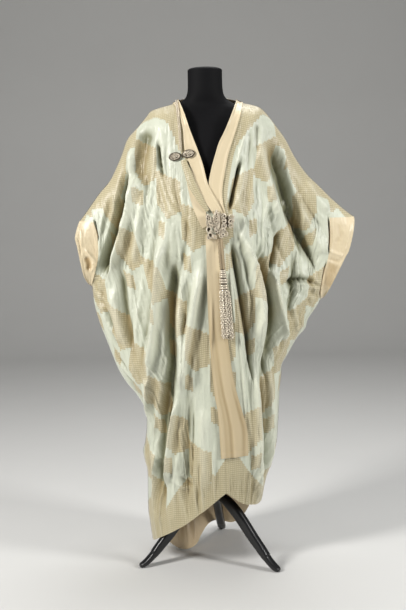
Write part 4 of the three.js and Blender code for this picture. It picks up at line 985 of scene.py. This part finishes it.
def cuff(name, sideName, node, turned):
    half = np.linspace(0, 1, cuffShape["rows"])
    down = np.concatenate([half, half[::-1]])
    across = np.linspace(0, 1, cuffShape["columns"])
    flat = between(cuffLines["seam" + sideName], cuffLines["edge" + sideName], down, across)
    front = np.arange(len(down)) < len(half)
    parts = []
    for side, chosen in ((-1, front), (1, ~front)):
        x, z = flat[chosen][..., 0].ravel(), flat[chosen][..., 1].ravel()
        crinkle = (1 - np.abs(softNoise(x / 15 + z / 40, z / 24, 61))) ** 3 - 0.35
        crinkle += 0.9 * ((1 - np.abs(softNoise(x / 7, z / 11, 62))) ** 3 - 0.35)
        base, normal, raised = coatPoints(side, x, z, folds=cuffFolds[sideName],
                                          lift=cuffShape["crinkle"] * crinkle)
        # painted shade on the turned parts, in fold hollows and in the crinkle's troughs
        parts.append((base, normal, foldHeights(cuffPaintedShade[sideName], x, z) - raised / 14 - 0.12 * crinkle))
    points, normal, shade = (np.concatenate([p[k] for p in parts]) for k in range(3))
    shape = (len(down), len(across), 3)
    roll = cuffShape["roll"] * rolledEdge(shape[1], 0.1)
    outer = points.reshape(shape) + normal.reshape(shape) * roll[None, :, None]
    inner = (points - normal * cuffShape["wall"]).reshape(shape)
    obj = shellObject(name, outer, inner, turned, [satin, satinLining], clothPlaces(outer),
                      np.clip(shade, 0, 1))
    return finishPiece(obj, "satin", node)


cuffRight = cuff("cuff_band_right", "Right", "cuff_right", True)
cuffLeft = cuff("cuff_band_left", "Left", "cuff_left", False)

sashShape = {"under": 2.6, "wall": 1.5, "rows": 220, "columns": 40, "wave": 1.9, "hem": 0.9}
sashLeft = [(-8, 1026), (-6, 925), (-5, 807), (1, 659), (10, 554), (19, 490), (25, 359)]
sashRight = [(32, 1026), (33, 960), (38, 865), (58, 657), (71, 573), (92, 489), (104, 437), (105, 361)]


def sashEnd():
    places, across = np.linspace(0, 1, sashShape["rows"]), np.linspace(0, 1, sashShape["columns"])
    flat = between(sashLeft, sashRight, places, across)
    p, c = np.meshgrid(places, across, indexing="ij")
    # broad rise down the middle, a ridge by the left edge, two hollows that open towards the foot
    wave = 0.8 * bump((c - 0.64 + 0.06 * p) / 0.3) + 0.5 * bump((c - 0.1) / 0.12) * smooth(p, 0.3, 0.7)
    wave -= 1.0 * bump((c - 0.32 - 0.1 * p) / 0.11) * smooth(p, 0.42, 0.8)
    wave -= 0.6 * bump((c - 0.86) / 0.1) * smooth(p, 0.55, 0.85)
    wave += 0.3 * softNoise(c * 9, p * 5, 51)
    lift = sashShape["wave"] * (0.8 + wave) * (0.35 + 0.65 * smooth(p, 0, 0.5))
    lift += sashShape["hem"] * smooth(p, 0.972, 0.978)
    # painted shade in the hollows of the wave, and darker towards the foot
    shade = np.clip(0.2 - 0.5 * wave, 0, 1) * 0.8 * smooth(p, 0.1, 0.5) + 0.44 * smooth(p, 0.12, 0.55)
    return stripWall("sash_hanging_end", -1, flat, sashShape["under"], sashShape["wall"],
                     [satinTan, satinLining], False, lift=lift, shadeFrom=shade)


sash = finishPiece(sashEnd(), "satin", "sash_end")

facingShape = {"rows": 60, "columns": 14, "under": 1.2, "wall": 1.4}
facingOuter = [(-60, 1186), (-52, 1140), (-40, 1098), (-17, 1044)]
facingInner = [(-55, 1186), (-43, 1158), (-25, 1124), (-6, 1092), (-2, 1050)]
facingFlat = between(facingOuter, facingInner, np.linspace(0, 1, facingShape["rows"]),
                     np.linspace(0, 1, facingShape["columns"]))
facing = finishPiece(stripWall("lapel_turn_facing", -1, facingFlat, facingShape["under"], facingShape["wall"],
                               [satin, satinLining], False), "satin", "lapel_facing")

# the lining follows the foot of the back, a little inside it
liningShape = {"from": 0.7, "inset": 12, "gap": 1.2, "wall": 0.9}
liningFlat = backFlat[int(panelGrid["rows"] * liningShape["from"]):,
                      liningShape["inset"]:-liningShape["inset"]]
lining = finishPiece(stripWall("back_hem_lining", 1, liningFlat, -shell["wall"] - liningShape["gap"],
                               -liningShape["wall"], [satinLining, satinLining], True),
                     "satin", "lining_back_hem")
print("satin made")


# cords, clasp and tassel

def carriedFrames(path):
    # tangent, across and up at each point, carried along without twist
    path = np.asarray(path, float)
    tangent = np.gradient(path, axis=0)
    tangent /= np.linalg.norm(tangent, axis=1)[:, None]
    across = np.zeros_like(path)
    towardsFront = np.array([0.3, -1.0, 0.2])
    across[0] = towardsFront - tangent[0] * (towardsFront @ tangent[0])
    across[0] /= np.linalg.norm(across[0])
    for k in range(1, len(path)):
        moved = across[k - 1] - tangent[k] * (across[k - 1] @ tangent[k])
        across[k] = moved / np.linalg.norm(moved)
    return tangent, across, np.cross(tangent, across)


def tubeMesh(path, radius, sides, start=0):
    _, a, b = carriedFrames(path)
    angle = 2 * np.pi * np.arange(sides) / sides
    radius = np.broadcast_to(radius, len(path))
    ring = (np.asarray(path)[:, None] + radius[:, None, None]
            * (np.cos(angle)[None, :, None] * a[:, None] + np.sin(angle)[None, :, None] * b[:, None]))
    return ring.reshape(-1, 3), closedTube(len(path), sides, start)


class Bundle:
    # many tubes in one mesh
    def __init__(self):
        self.points, self.faces, self.slots, self.count = [], [], [], 0

    def keep(self, points, faces, slot):
        self.points.append(points)
        self.faces += faces
        self.slots += [slot] * len(faces)
        self.count += len(points)

    def tube(self, path, radius, sides=6, slot=0):
        self.keep(*tubeMesh(path, radius, sides, self.count), slot)

    def twist(self, path, radius, pitch, plies=2, sides=5, perTurn=8, phase=0.0, slot=0):
        path = np.asarray(path, float)
        length = np.concatenate([[0], np.cumsum(np.linalg.norm(np.diff(path, axis=0), axis=1))])
        steps = max(int(length[-1] / pitch * perTurn), 6)
        at = np.linspace(0, length[-1], steps + 1)
        fine = np.stack([np.interp(at, length, path[:, k]) for k in range(3)], 1)
        _, a, b = carriedFrames(fine)
        for ply in range(plies):
            angle = phase + 2 * np.pi * (at / pitch + ply / plies)
            offset = radius * 0.5 * (np.cos(angle)[:, None] * a + np.sin(angle)[:, None] * b)
            self.tube(fine + offset, radius * 0.56, sides, slot)

    def ring(self, centre, radiusX, radiusZ, radius, pitch, tilt=0.0, bulge=0.0):
        # twisted cord round an upright oval
        t = np.linspace(0, 2 * np.pi, 41)
        x, z = radiusX * np.cos(t), radiusZ * np.sin(t)
        c, s = math.cos(tilt), math.sin(tilt)
        path = np.stack([centre[0] + x * c - z * s, centre[1] + bulge * np.sin(2 * t),
                         centre[2] + x * s + z * c], 1)
        self.twist(path, radius, pitch)

    def knot(self, centre, radius, cord, seed=0):
        # ball of wound cord: three leaning loops and a dark core, painted shade between the loops
        for k, (lean, spin) in enumerate(((0.5, 0.0), (-0.6, 1.1), (1.3, 2.3))):
            t = np.linspace(0, 2 * np.pi, 33)
            loop = np.stack([np.cos(t), 0.55 * np.sin(t) * math.sin(lean), np.sin(t) * math.cos(lean)], 1)
            turned = np.array(Matrix.Rotation(spin + seed, 3, "Y"))
            self.twist(loop @ turned.T * (radius - cord) + np.asarray(centre), cord, cord * 3.2, phase=k)
        self.pad(centre, radius * 0.72, radius * 0.5, radius * 0.72)

    def pad(self, centre, halfX, halfY, halfZ, tilt=0.0, sides=20, rings=9):
        # flattened dark ball behind the bright cords, painted shade that shows in the gaps between them
        lift = np.linspace(-0.47 * np.pi, 0.47 * np.pi, rings)[:, None]
        turn = 2 * np.pi * np.arange(sides)[None, :] / sides
        x, z = halfX * np.cos(lift) * np.cos(turn), halfZ * np.cos(lift) * np.sin(turn)
        y = halfY * np.sin(lift) + 0 * turn
        c, k = math.cos(tilt), math.sin(tilt)
        points = np.stack([x * c - z * k, y, x * k + z * c], -1).reshape(-1, 3) + np.asarray(centre)
        self.keep(points, closedTube(rings, sides, self.count, flipped=True), 1)

    def build(self, name, *nodes, thread=metalThread):
        obj = meshObject(name, np.concatenate(self.points), self.faces, [thread, darkCordAndPaintedShade], self.slots,
                         sharp=80)
        return finishPiece(obj, "metal_cord", *nodes)


def outOfCoat(x, z, out):
    # points at a distance out from the unfolded front
    return coatPoints(-1, np.atleast_1d(x), np.atleast_1d(z), out=out, folds=[])[0]


claspShape = {"out": 11.6, "padBehind": 3.5}  # how far the cords stand out, and the pads behind them


def onClasp(x, z, rise=0.0):
    return outOfCoat(x, z, claspShape["out"] + rise)[0]


def lace(bundle, count, lowX, highX, lowZ, highZ, seed):
    # small uneven loops of cord over the larger ones
    chance = np.random.default_rng(seed)
    for _ in range(count):
        x, z, rise, wide, tall, cord, tilt = chance.uniform((lowX, lowZ, 0.5, 3.2, 3.8, 1.1, -1.3),
                                                            (highX, highZ, 3.0, 6.0, 7.0, 1.7, 1.3))
        bundle.ring(onClasp(x, z, rise), wide, tall, cord, 3.6, tilt, bulge=1.2)


claspLoops = Bundle()
for k, (x, z) in enumerate([(2, 1072), (6, 1056), (2, 1040), (6, 1024)]):
    claspLoops.ring(onClasp(x, z), 6.5, 8.5, 2.0, 4.4, 0.25 * (-1) ** k, bulge=1.5)
    claspLoops.pad(onClasp(x, z, -claspShape["padBehind"]), 4.6, 2.0, 6.0)
claspLoops.knot(onClasp(-1, 1078), 6, 1.7)
claspLoops.knot(onClasp(1, 1018), 6, 1.7, 1)
lace(claspLoops, 7, -1, 10, 1022, 1080, 71)
claspLoops.build("clasp_corded_loops", "clasp_loops")

claspTab = Bundle()
for inset in (0.0, 3.4):
    claspTab.ring(onClasp(24, 1064), 8.8 - inset, 27 - inset, 1.9, 4.0, bulge=0.8)
claspTab.pad(onClasp(24, 1064, -claspShape["padBehind"]), 11, 2.4, 27)
for z in np.arange(1044, 1088, 6.5):
    claspTab.ring(onClasp(24, z), 3.4, 3.0, 1.2, 3.0)
claspTab.knot(onClasp(24, 1037), 7.5, 1.9, 2)
claspTab.knot(onClasp(24, 1091), 4.5, 1.4, 1)
lace(claspTab, 9, 17, 31, 1032, 1088, 72)
lace(claspTab, 6, 12, 36, 1017, 1036, 75)
claspTab.build("clasp_braided_tab", "clasp_tab")

claspKnots = Bundle()
knotPlaces = [(44, 1078, 8.5), (45, 1064, 8), (45, 1050, 8.5), (43, 1036, 8), (41, 1024, 7.5)]
for k, (x, z, radius) in enumerate(knotPlaces):
    claspKnots.knot(onClasp(x, z), radius, 2.0, k)
lace(claspKnots, 7, 38, 50, 1024, 1082, 73)
claspKnots.build("clasp_wound_knots", "clasp_knots")

claspButton = Bundle()
claspButton.knot(onClasp(64, 1062), 8, 1.8, 3)
claspButton.pad(onClasp(58, 1062, -claspShape["padBehind"]), 9, 2.0, 17)
claspButton.ring(onClasp(63, 1074), 6.5, 6.5, 1.7, 3.8)
claspButton.ring(onClasp(63, 1050), 5.5, 6.5, 1.7, 3.8)
lace(claspButton, 4, 58, 68, 1050, 1076, 74)
claspButton.build("clasp_corded_button", "clasp_button")

hang = {"x": 38, "z": 950, "out": 21, "lean": 0.064, "forward": 0.01, "braidTop": 1012, "headTop": 926,
        "setBack": 9}
hangY = outOfCoat(hang["x"], hang["z"], hang["out"])[0, 1]


def tasselPath(z):
    # the line on which the tassel hangs
    z = np.asarray(z, float)
    below = hang["z"] - z
    return np.stack([hang["x"] + below * hang["lean"], hangY - below * hang["forward"], z], -1)


braid = Bundle()
braidZ = np.linspace(hang["braidTop"], hang["headTop"], 60)
braidLine = tasselPath(braidZ)
braidLine[:, 1] += (1 - smooth(hang["braidTop"] - braidZ, 0, 40)) * hang["setBack"]
for k in range(3):
    # three strands plaited flat
    turn = 2 * np.pi * (np.arange(60) / 60 * 5 + k / 3)
    path = braidLine + np.stack([6.0 * np.sin(turn), 1.8 * np.cos(2 * turn), 0 * turn], 1)
    braid.twist(path, 3.4, 6.0)
braid.build("tassel_plaited_braid", "tassel_braid", thread=tanThread)

# bands: height, radius and cord; strand rings: how many, and their radius at the foot and at the top
tasselShape = {
    "bands": [(922, 6.2, 2.3), (917, 7.6, 2.5), (911, 8.6, 2.6), (905, 9.2, 2.7), (896, 10.0, 3.0),
              (889, 10.3, 3.0), (879, 10.6, 3.1), (872, 11.0, 3.0), (865, 11.6, 2.4)],
    "coreHeights": [740, 862, 900, 926], "coreRadii": [11.5, 9.5, 8.5, 4.5],
    "rings": [(20, 17.0, 12.4), (13, 12.0, 8.4), (6, 6.0, 4.0)], "top": 864, "bottom": 725,
    "wire": 2.0, "bead": 0.42, "crimp": 11.0, "wave": 1.3,
}
tassel = Bundle()
z = np.linspace(hang["headTop"], tasselShape["coreHeights"][0], 40)
# dark core: painted shade that shows in the gaps between the wound bands
tassel.tube(tasselPath(z), np.interp(z, tasselShape["coreHeights"], tasselShape["coreRadii"]), 16, 1)
for bandHeight, wide, cord in tasselShape["bands"]:
    # wound bands of the head; the dark core shows between some as painted shade
    turn = np.linspace(0, 2 * np.pi, 41)
    loop = wide * np.stack([np.cos(turn), np.sin(turn), 0 * turn], 1)
    tassel.tube(tasselPath(bandHeight) + loop, 0.95 * cord, 10)
strandRandom = np.random.default_rng(5)
for ring, (count, low, high) in enumerate(tasselShape["rings"]):
    for k in range(count):
        angle = 2 * np.pi * (k + 0.3 * ring) / count + strandRandom.uniform(-0.08, 0.08)
        bottom = tasselShape["bottom"] + strandRandom.uniform(-4, 9)
        z = np.linspace(tasselShape["top"], bottom, 120)
        wide = np.interp(z, [bottom, tasselShape["top"]], [low, high]) + strandRandom.uniform(-0.8, 0.8)
        turn = 2 * np.pi * z / tasselShape["crimp"] + strandRandom.uniform(0, 6)
        sway = 1.2 * np.sin(np.linspace(0, 5, 120) + strandRandom.uniform(0, 6))
        sway = sway + tasselShape["wave"] * np.sin(turn)
        path = tasselPath(z) + np.stack([np.cos(angle) * wide + sway, np.sin(angle) * wide + 0 * z, 0 * z], 1)
        tassel.tube(path, tasselShape["wire"] * (1 + tasselShape["bead"] * np.sin(1.7 * turn)))
tassel.build("tassel_head_and_skirt", "tassel")

ovalShape = {"halfWidth": 18.5, "halfHeight": 12.5, "tilt": 0.16, "under": 5.4, "cord": 1.55}


def ovalCoil(name, node, x, z):
    # openwork oval: an outer rim of twisted cord round small scrolls
    oval = Bundle()
    wide, high, tilt = ovalShape["halfWidth"], ovalShape["halfHeight"], ovalShape["tilt"]
    under, cord = ovalShape["under"], ovalShape["cord"]

    def ring(halfWidth, halfHeight, cx, cz, rise, thread, turns=1.0, slot=0):
        t = np.linspace(0, 2 * np.pi * turns, int(44 * turns) + 1)
        grow = np.linspace(1, 0.35, len(t)) if turns > 1 else 1.0  # scrolls wind inwards
        a, b = halfWidth * np.cos(t) * grow + cx, halfHeight * np.sin(t) * grow + cz
        c, s = math.cos(tilt), math.sin(tilt)
        path = outOfCoat(x + a * c - b * s, z + a * s + b * c, rise)
        oval.twist(path, thread, thread * 2.2, perTurn=7, slot=slot)

    # dark pad behind the openwork: painted shade in its gaps
    oval.pad(outOfCoat(x, z, under)[0], wide - 1.5, 1.8, high - 1.5, tilt)
    ring(wide - cord, high - cord, 0, 0, under, cord, slot=1)
    ring(wide - 3.0 * cord, high - 3.0 * cord, 0, 0, under + 2.2, cord * 0.9)
    for k, (cx, cz) in enumerate([(-8.5, 0.5), (0, 2.8), (0, -3.2), (8.5, 0.5)]):
        ring(4.8, 4.6 if abs(cx) > 1 else 2.9, cx, cz, under + 3.0 + 0.5 * (k % 2), 0.95, 1.6)
    return oval.build(name, node)


ovalCoil("ornament_oval_right", "ornament_right", -91, 1251)
ovalCoil("ornament_oval_left", "ornament_left", -52, 1258)

ornamentCord = Bundle()
cordLine = alongCurve([(-83, 1412), (-82, 1400), (-80, 1380), (-78, 1355), (-76, 1320), (-74, 1268)],
                      np.linspace(0, 1, 80))
for side in (-2.1, 2.1):
    ornamentCord.twist(outOfCoat(cordLine[:, 0] + side, cordLine[:, 1], 6.2), 1.7, 5.0)
ornamentCord.build("ornament_double_cord", "ornament_cord")

rollShape = {"rows": 90, "sides": 22, "wall": 1.2, "under": 3.4, "wide": 2.2, "aside": 4.5, "high": 1.0}
rollLine = alongCurve([(-66, 1240), (-58, 1204), (-47, 1168), (-25, 1124), (-4, 1090)],
                      np.linspace(0, 1, rollShape["rows"]))


def lapelRoll():
    # the edge of the silk turned over on itself
    t = np.linspace(0, 1, rollShape["rows"])
    radius = 2.2 + 3.2 * np.sin(np.pi * np.minimum(0.15 + 0.8 * t, 1))
    base, normal, _ = coatPoints(-1, rollLine[:, 0], rollLine[:, 1])
    tangent = np.gradient(base, axis=0)
    tangent /= np.linalg.norm(tangent, axis=1)[:, None]
    across = np.cross(tangent, normal)
    angle = np.linspace(-0.75 * np.pi, 1.05 * np.pi, rollShape["sides"])
    aside = across * np.sign(across[:, [0]]) * (rollShape["aside"] * smooth(t, 0, 0.3))[:, None]
    centre = base + normal * (rollShape["under"] + radius * rollShape["high"])[:, None] + aside
    oval = (np.cos(angle)[None, :, None] * across[:, None] * rollShape["wide"]
            + np.sin(angle)[None, :, None] * normal[:, None] * rollShape["high"])
    shape = lambda r: centre[:, None] + r[:, None, None] * oval
    outer, inner = shape(radius), shape(radius - rollShape["wall"])
    return shellObject("lapel_rolled_edge", outer, inner, True, [silkGold, satinLining], clothPlaces(outer),
                       np.zeros(outer[..., 0].size))


rolledLapel = finishPiece(lapelRoll(), "silk", "lapel_roll")
print("cords made")


# dress form and stand

formSections = rows("z halfWidth front back", [
    (815, 134, 92, 74), (821, 142, 98, 80), (870, 150, 104, 84), (930, 150, 102, 83), (1000, 136, 94, 76),
    (1075, 120, 92, 70), (1140, 128, 104, 74), (1200, 142, 106, 78), (1260, 152, 98, 78), (1310, 158, 86, 72),
    (1345, 160, 72, 60), (1368, 154, 60, 49), (1385, 136, 50, 40), (1398, 109, 44, 34), (1409, 82, 43, 36),
    (1418, 67, 45, 43), (1430, 57, 48, 48), (1448, 52.5, 50, 50), (1475, 51.5, 50, 50), (1503, 51.5, 50, 50)])
formShape = {"sides": 96, "rings": 150, "foot": 815, "neckTop": 1503, "neckWidth": 51.5, "neckDepth": 50,
             "capTop": 1515, "capRings": 12, "power": 2.3, "neckPower": 2.05, "neckFrom": 1400}


def roundedSquare(sides, power):
    # across and up for points round a rounded square, counter-clockwise
    angle = 2 * np.pi * np.arange(sides) / sides
    c, s = np.cos(angle), np.sin(angle)
    return np.sign(c) * np.abs(c) ** (2 / power), np.sign(s) * np.abs(s) ** (2 / power)


def ringAt(halfWidth, front, back, z, power):
    x, y = roundedSquare(formShape["sides"], power)
    return np.stack([halfWidth * x, np.where(y < 0, front, back) * y, np.full(len(x), z)], 1)


def dressForm():
    z = np.linspace(formShape["foot"], formShape["neckTop"], formShape["rings"])
    sizes = np.stack([column(formSections, name)(z) for name in ("halfWidth", "front", "back")], 1)
    rings = [ringAt(*size, height, formShape["power" if height < formShape["neckFrom"] else "neckPower"])
             for size, height in zip(sizes, z)]
    for t in np.linspace(0, 1, formShape["capRings"])[1:]:
        # domed cap of the neck
        size = math.sqrt(1 - (t * 0.97) ** 2.2)
        height = formShape["neckTop"] + (formShape["capTop"] - formShape["neckTop"]) * t ** 0.75
        halfWidth, depth = formShape["neckWidth"] * size, formShape["neckDepth"] * size
        rings.append(ringAt(halfWidth, depth, depth, height, formShape["neckPower"]))
    return meshObject("dress_form", np.concatenate(rings), closedTube(len(rings), formShape["sides"]),
                      [formCloth], sharp=50)


finishPiece(dressForm(), "form", "form_torso")

legProfile = rows("r z halfWidth halfHeight", [
    (22.4, 199, 9, 13), (40, 194, 10.5, 15), (62, 182, 12, 17), (92, 157, 13.5, 17.5), (120, 127, 13.5, 17),
    (150, 92, 13.5, 16), (184, 56, 13.5, 14), (208, 31, 13.5, 11.5), (226, 16, 13.5, 9.5),
    (236, 10, 12.5, 8.4), (244, 7.6, 10, 6.8), (248, 6, 6, 4.2)])
legShape = {"steps": 60, "sides": 20, "power": 3.2, "firstAngle": 52.5}


def standLeg(name, node, degrees):
    angle = math.radians(degrees)
    away = np.array([math.sin(angle), -math.cos(angle), 0.0])
    across = np.array([math.cos(angle), math.sin(angle), 0.0])
    table = np.stack([legProfile[k] for k in ("r", "z", "halfWidth", "halfHeight")], 1)
    line = alongCurve(table, np.linspace(0, 1, legShape["steps"]))
    slope = np.gradient(line[:, :2], axis=0)
    slope /= np.linalg.norm(slope, axis=1)[:, None]
    slope[-12:] = np.array([1.0, 0.0]) * 0.5 + slope[-12:] * 0.5  # the foot levels out
    a, b = roundedSquare(legShape["sides"], legShape["power"])
    points = []
    for (r, z, halfWidth, halfHeight), (dr, dz) in zip(line, slope):
        centre = away * r + np.array([0, 0, z])
        up = away * -dz + np.array([0, 0, dr])
        points.append(centre + across * (a * halfWidth)[:, None] + up * (b * halfHeight)[:, None])
    points = np.concatenate(points)
    points[:, 2] = np.maximum(points[:, 2], 0.0)  # flat on the floor
    faces = closedTube(legShape["steps"], legShape["sides"])
    return finishPiece(meshObject(name, points, faces, [standPaint], sharp=60), "stand", node)


for k, node in enumerate(("leg_front_left", "leg_front_right", "leg_back")):
    standLeg("stand_" + node, node, legShape["firstAngle"] - 120 * k)
for node in ("stand_pole", "stand_hub"):
    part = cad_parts[node]
    for slotPlace in part.material_slots:
        slotPlace.material = standPaint
print("form and stand made")


# floor, light and camera

room = {"floor": (0.60, 0.60, 0.59), "world": (0.86, 0.86, 0.85), "worldStrength": 0.15, "halfSpan": 9.0,
        "front": -6.0, "back": 5.0, "height": 5.0, "cove": 1.6, "coveSteps": 24}
# each lamp: where it is, what it points at, its size, power and colour
lamps = {
    "key_light": ((-2.5, -1.8, 2.4), (0, 0, 0.85), (0.6, 1.2), 132, (1.0, 0.98, 0.95)),
    "fill_light": ((2.7, -1.4, 1.9), (0, 0, 0.8), (0.6, 1.4), 80, (1.0, 0.99, 0.97)),
    "top_light": ((0.3, 0.7, 3.2), (0, 0, 0.9), (1.4, 1.4), 46, (1, 1, 1)),
}


def studio():
    # plain floor that curves up into a wall behind
    mesh = bpy.data.meshes.new("floor")
    back, cove = room["back"], room["cove"]
    line = [(room["front"], 0.0), (back - cove, 0.0)]
    line += [(back - cove + cove * math.sin(angle), cove - cove * math.cos(angle))
             for angle in np.linspace(0, math.pi / 2, room["coveSteps"])[1:]]
    line += [(back, room["height"])]
    points = [(x, y, z) for y, z in line for x in (-room["halfSpan"], room["halfSpan"])]
    faces = [(2 * k, 2 * k + 1, 2 * k + 3, 2 * k + 2) for k in range(len(line) - 1)]
    mesh.from_pydata(points, [], faces)
    made = plainMaterial("studio_floor", room["floor"], 0.75, 3.0, 0.0002,
                         tint=tuple(0.96 * c for c in room["floor"]))
    mesh.materials.append(made)
    mesh.polygons.foreach_set("use_smooth", np.ones(len(mesh.polygons), bool))
    floor = bpy.data.objects.new("floor", mesh)
    bpy.context.scene.collection.objects.link(floor)
    world = bpy.data.worlds.new("studio")
    world.use_nodes = True
    world.node_tree.nodes["Background"].inputs[0].default_value = (*room["world"], 1)
    world.node_tree.nodes["Background"].inputs[1].default_value = room["worldStrength"]
    bpy.context.scene.world = world


def softbox(name, place, target, size, power, colour):
    lamp = bpy.data.lights.new(name, "AREA")
    lamp.shape, lamp.size, lamp.size_y = "RECTANGLE", size[0], size[1]
    lamp.energy, lamp.color = power, colour
    obj = bpy.data.objects.new(name, lamp)
    way = np.array(target) - np.array(place)
    obj.rotation_euler = Vector(way).to_track_quat("-Z", "Y").to_euler()
    obj.location = place
    bpy.context.scene.collection.objects.link(obj)


studio()
for name, settings in lamps.items():
    softbox(name, *settings)
bpy.context.scene.view_settings.view_transform = "Standard"

cameraShape = {"place": (-19.0, -3092.0, 1213.0), "down": 7.6, "roll": 1.13, "lens": 1016 / 610 * 36}
camera = bpy.data.objects.new("camera", bpy.data.cameras.new("camera"))
camera.data.lens = cameraShape["lens"]
camera.data.sensor_width = 36
place = (np.array(cameraShape["place"]) + shift) * mm
camera.matrix_world = (Matrix.Translation(place.tolist())
                       @ Matrix.Rotation(math.radians(90 - cameraShape["down"]), 4, "X")
                       @ Matrix.Rotation(math.radians(-cameraShape["roll"]), 4, "Z"))
bpy.context.scene.collection.objects.link(camera)
bpy.context.scene.camera = camera
print("studio made")
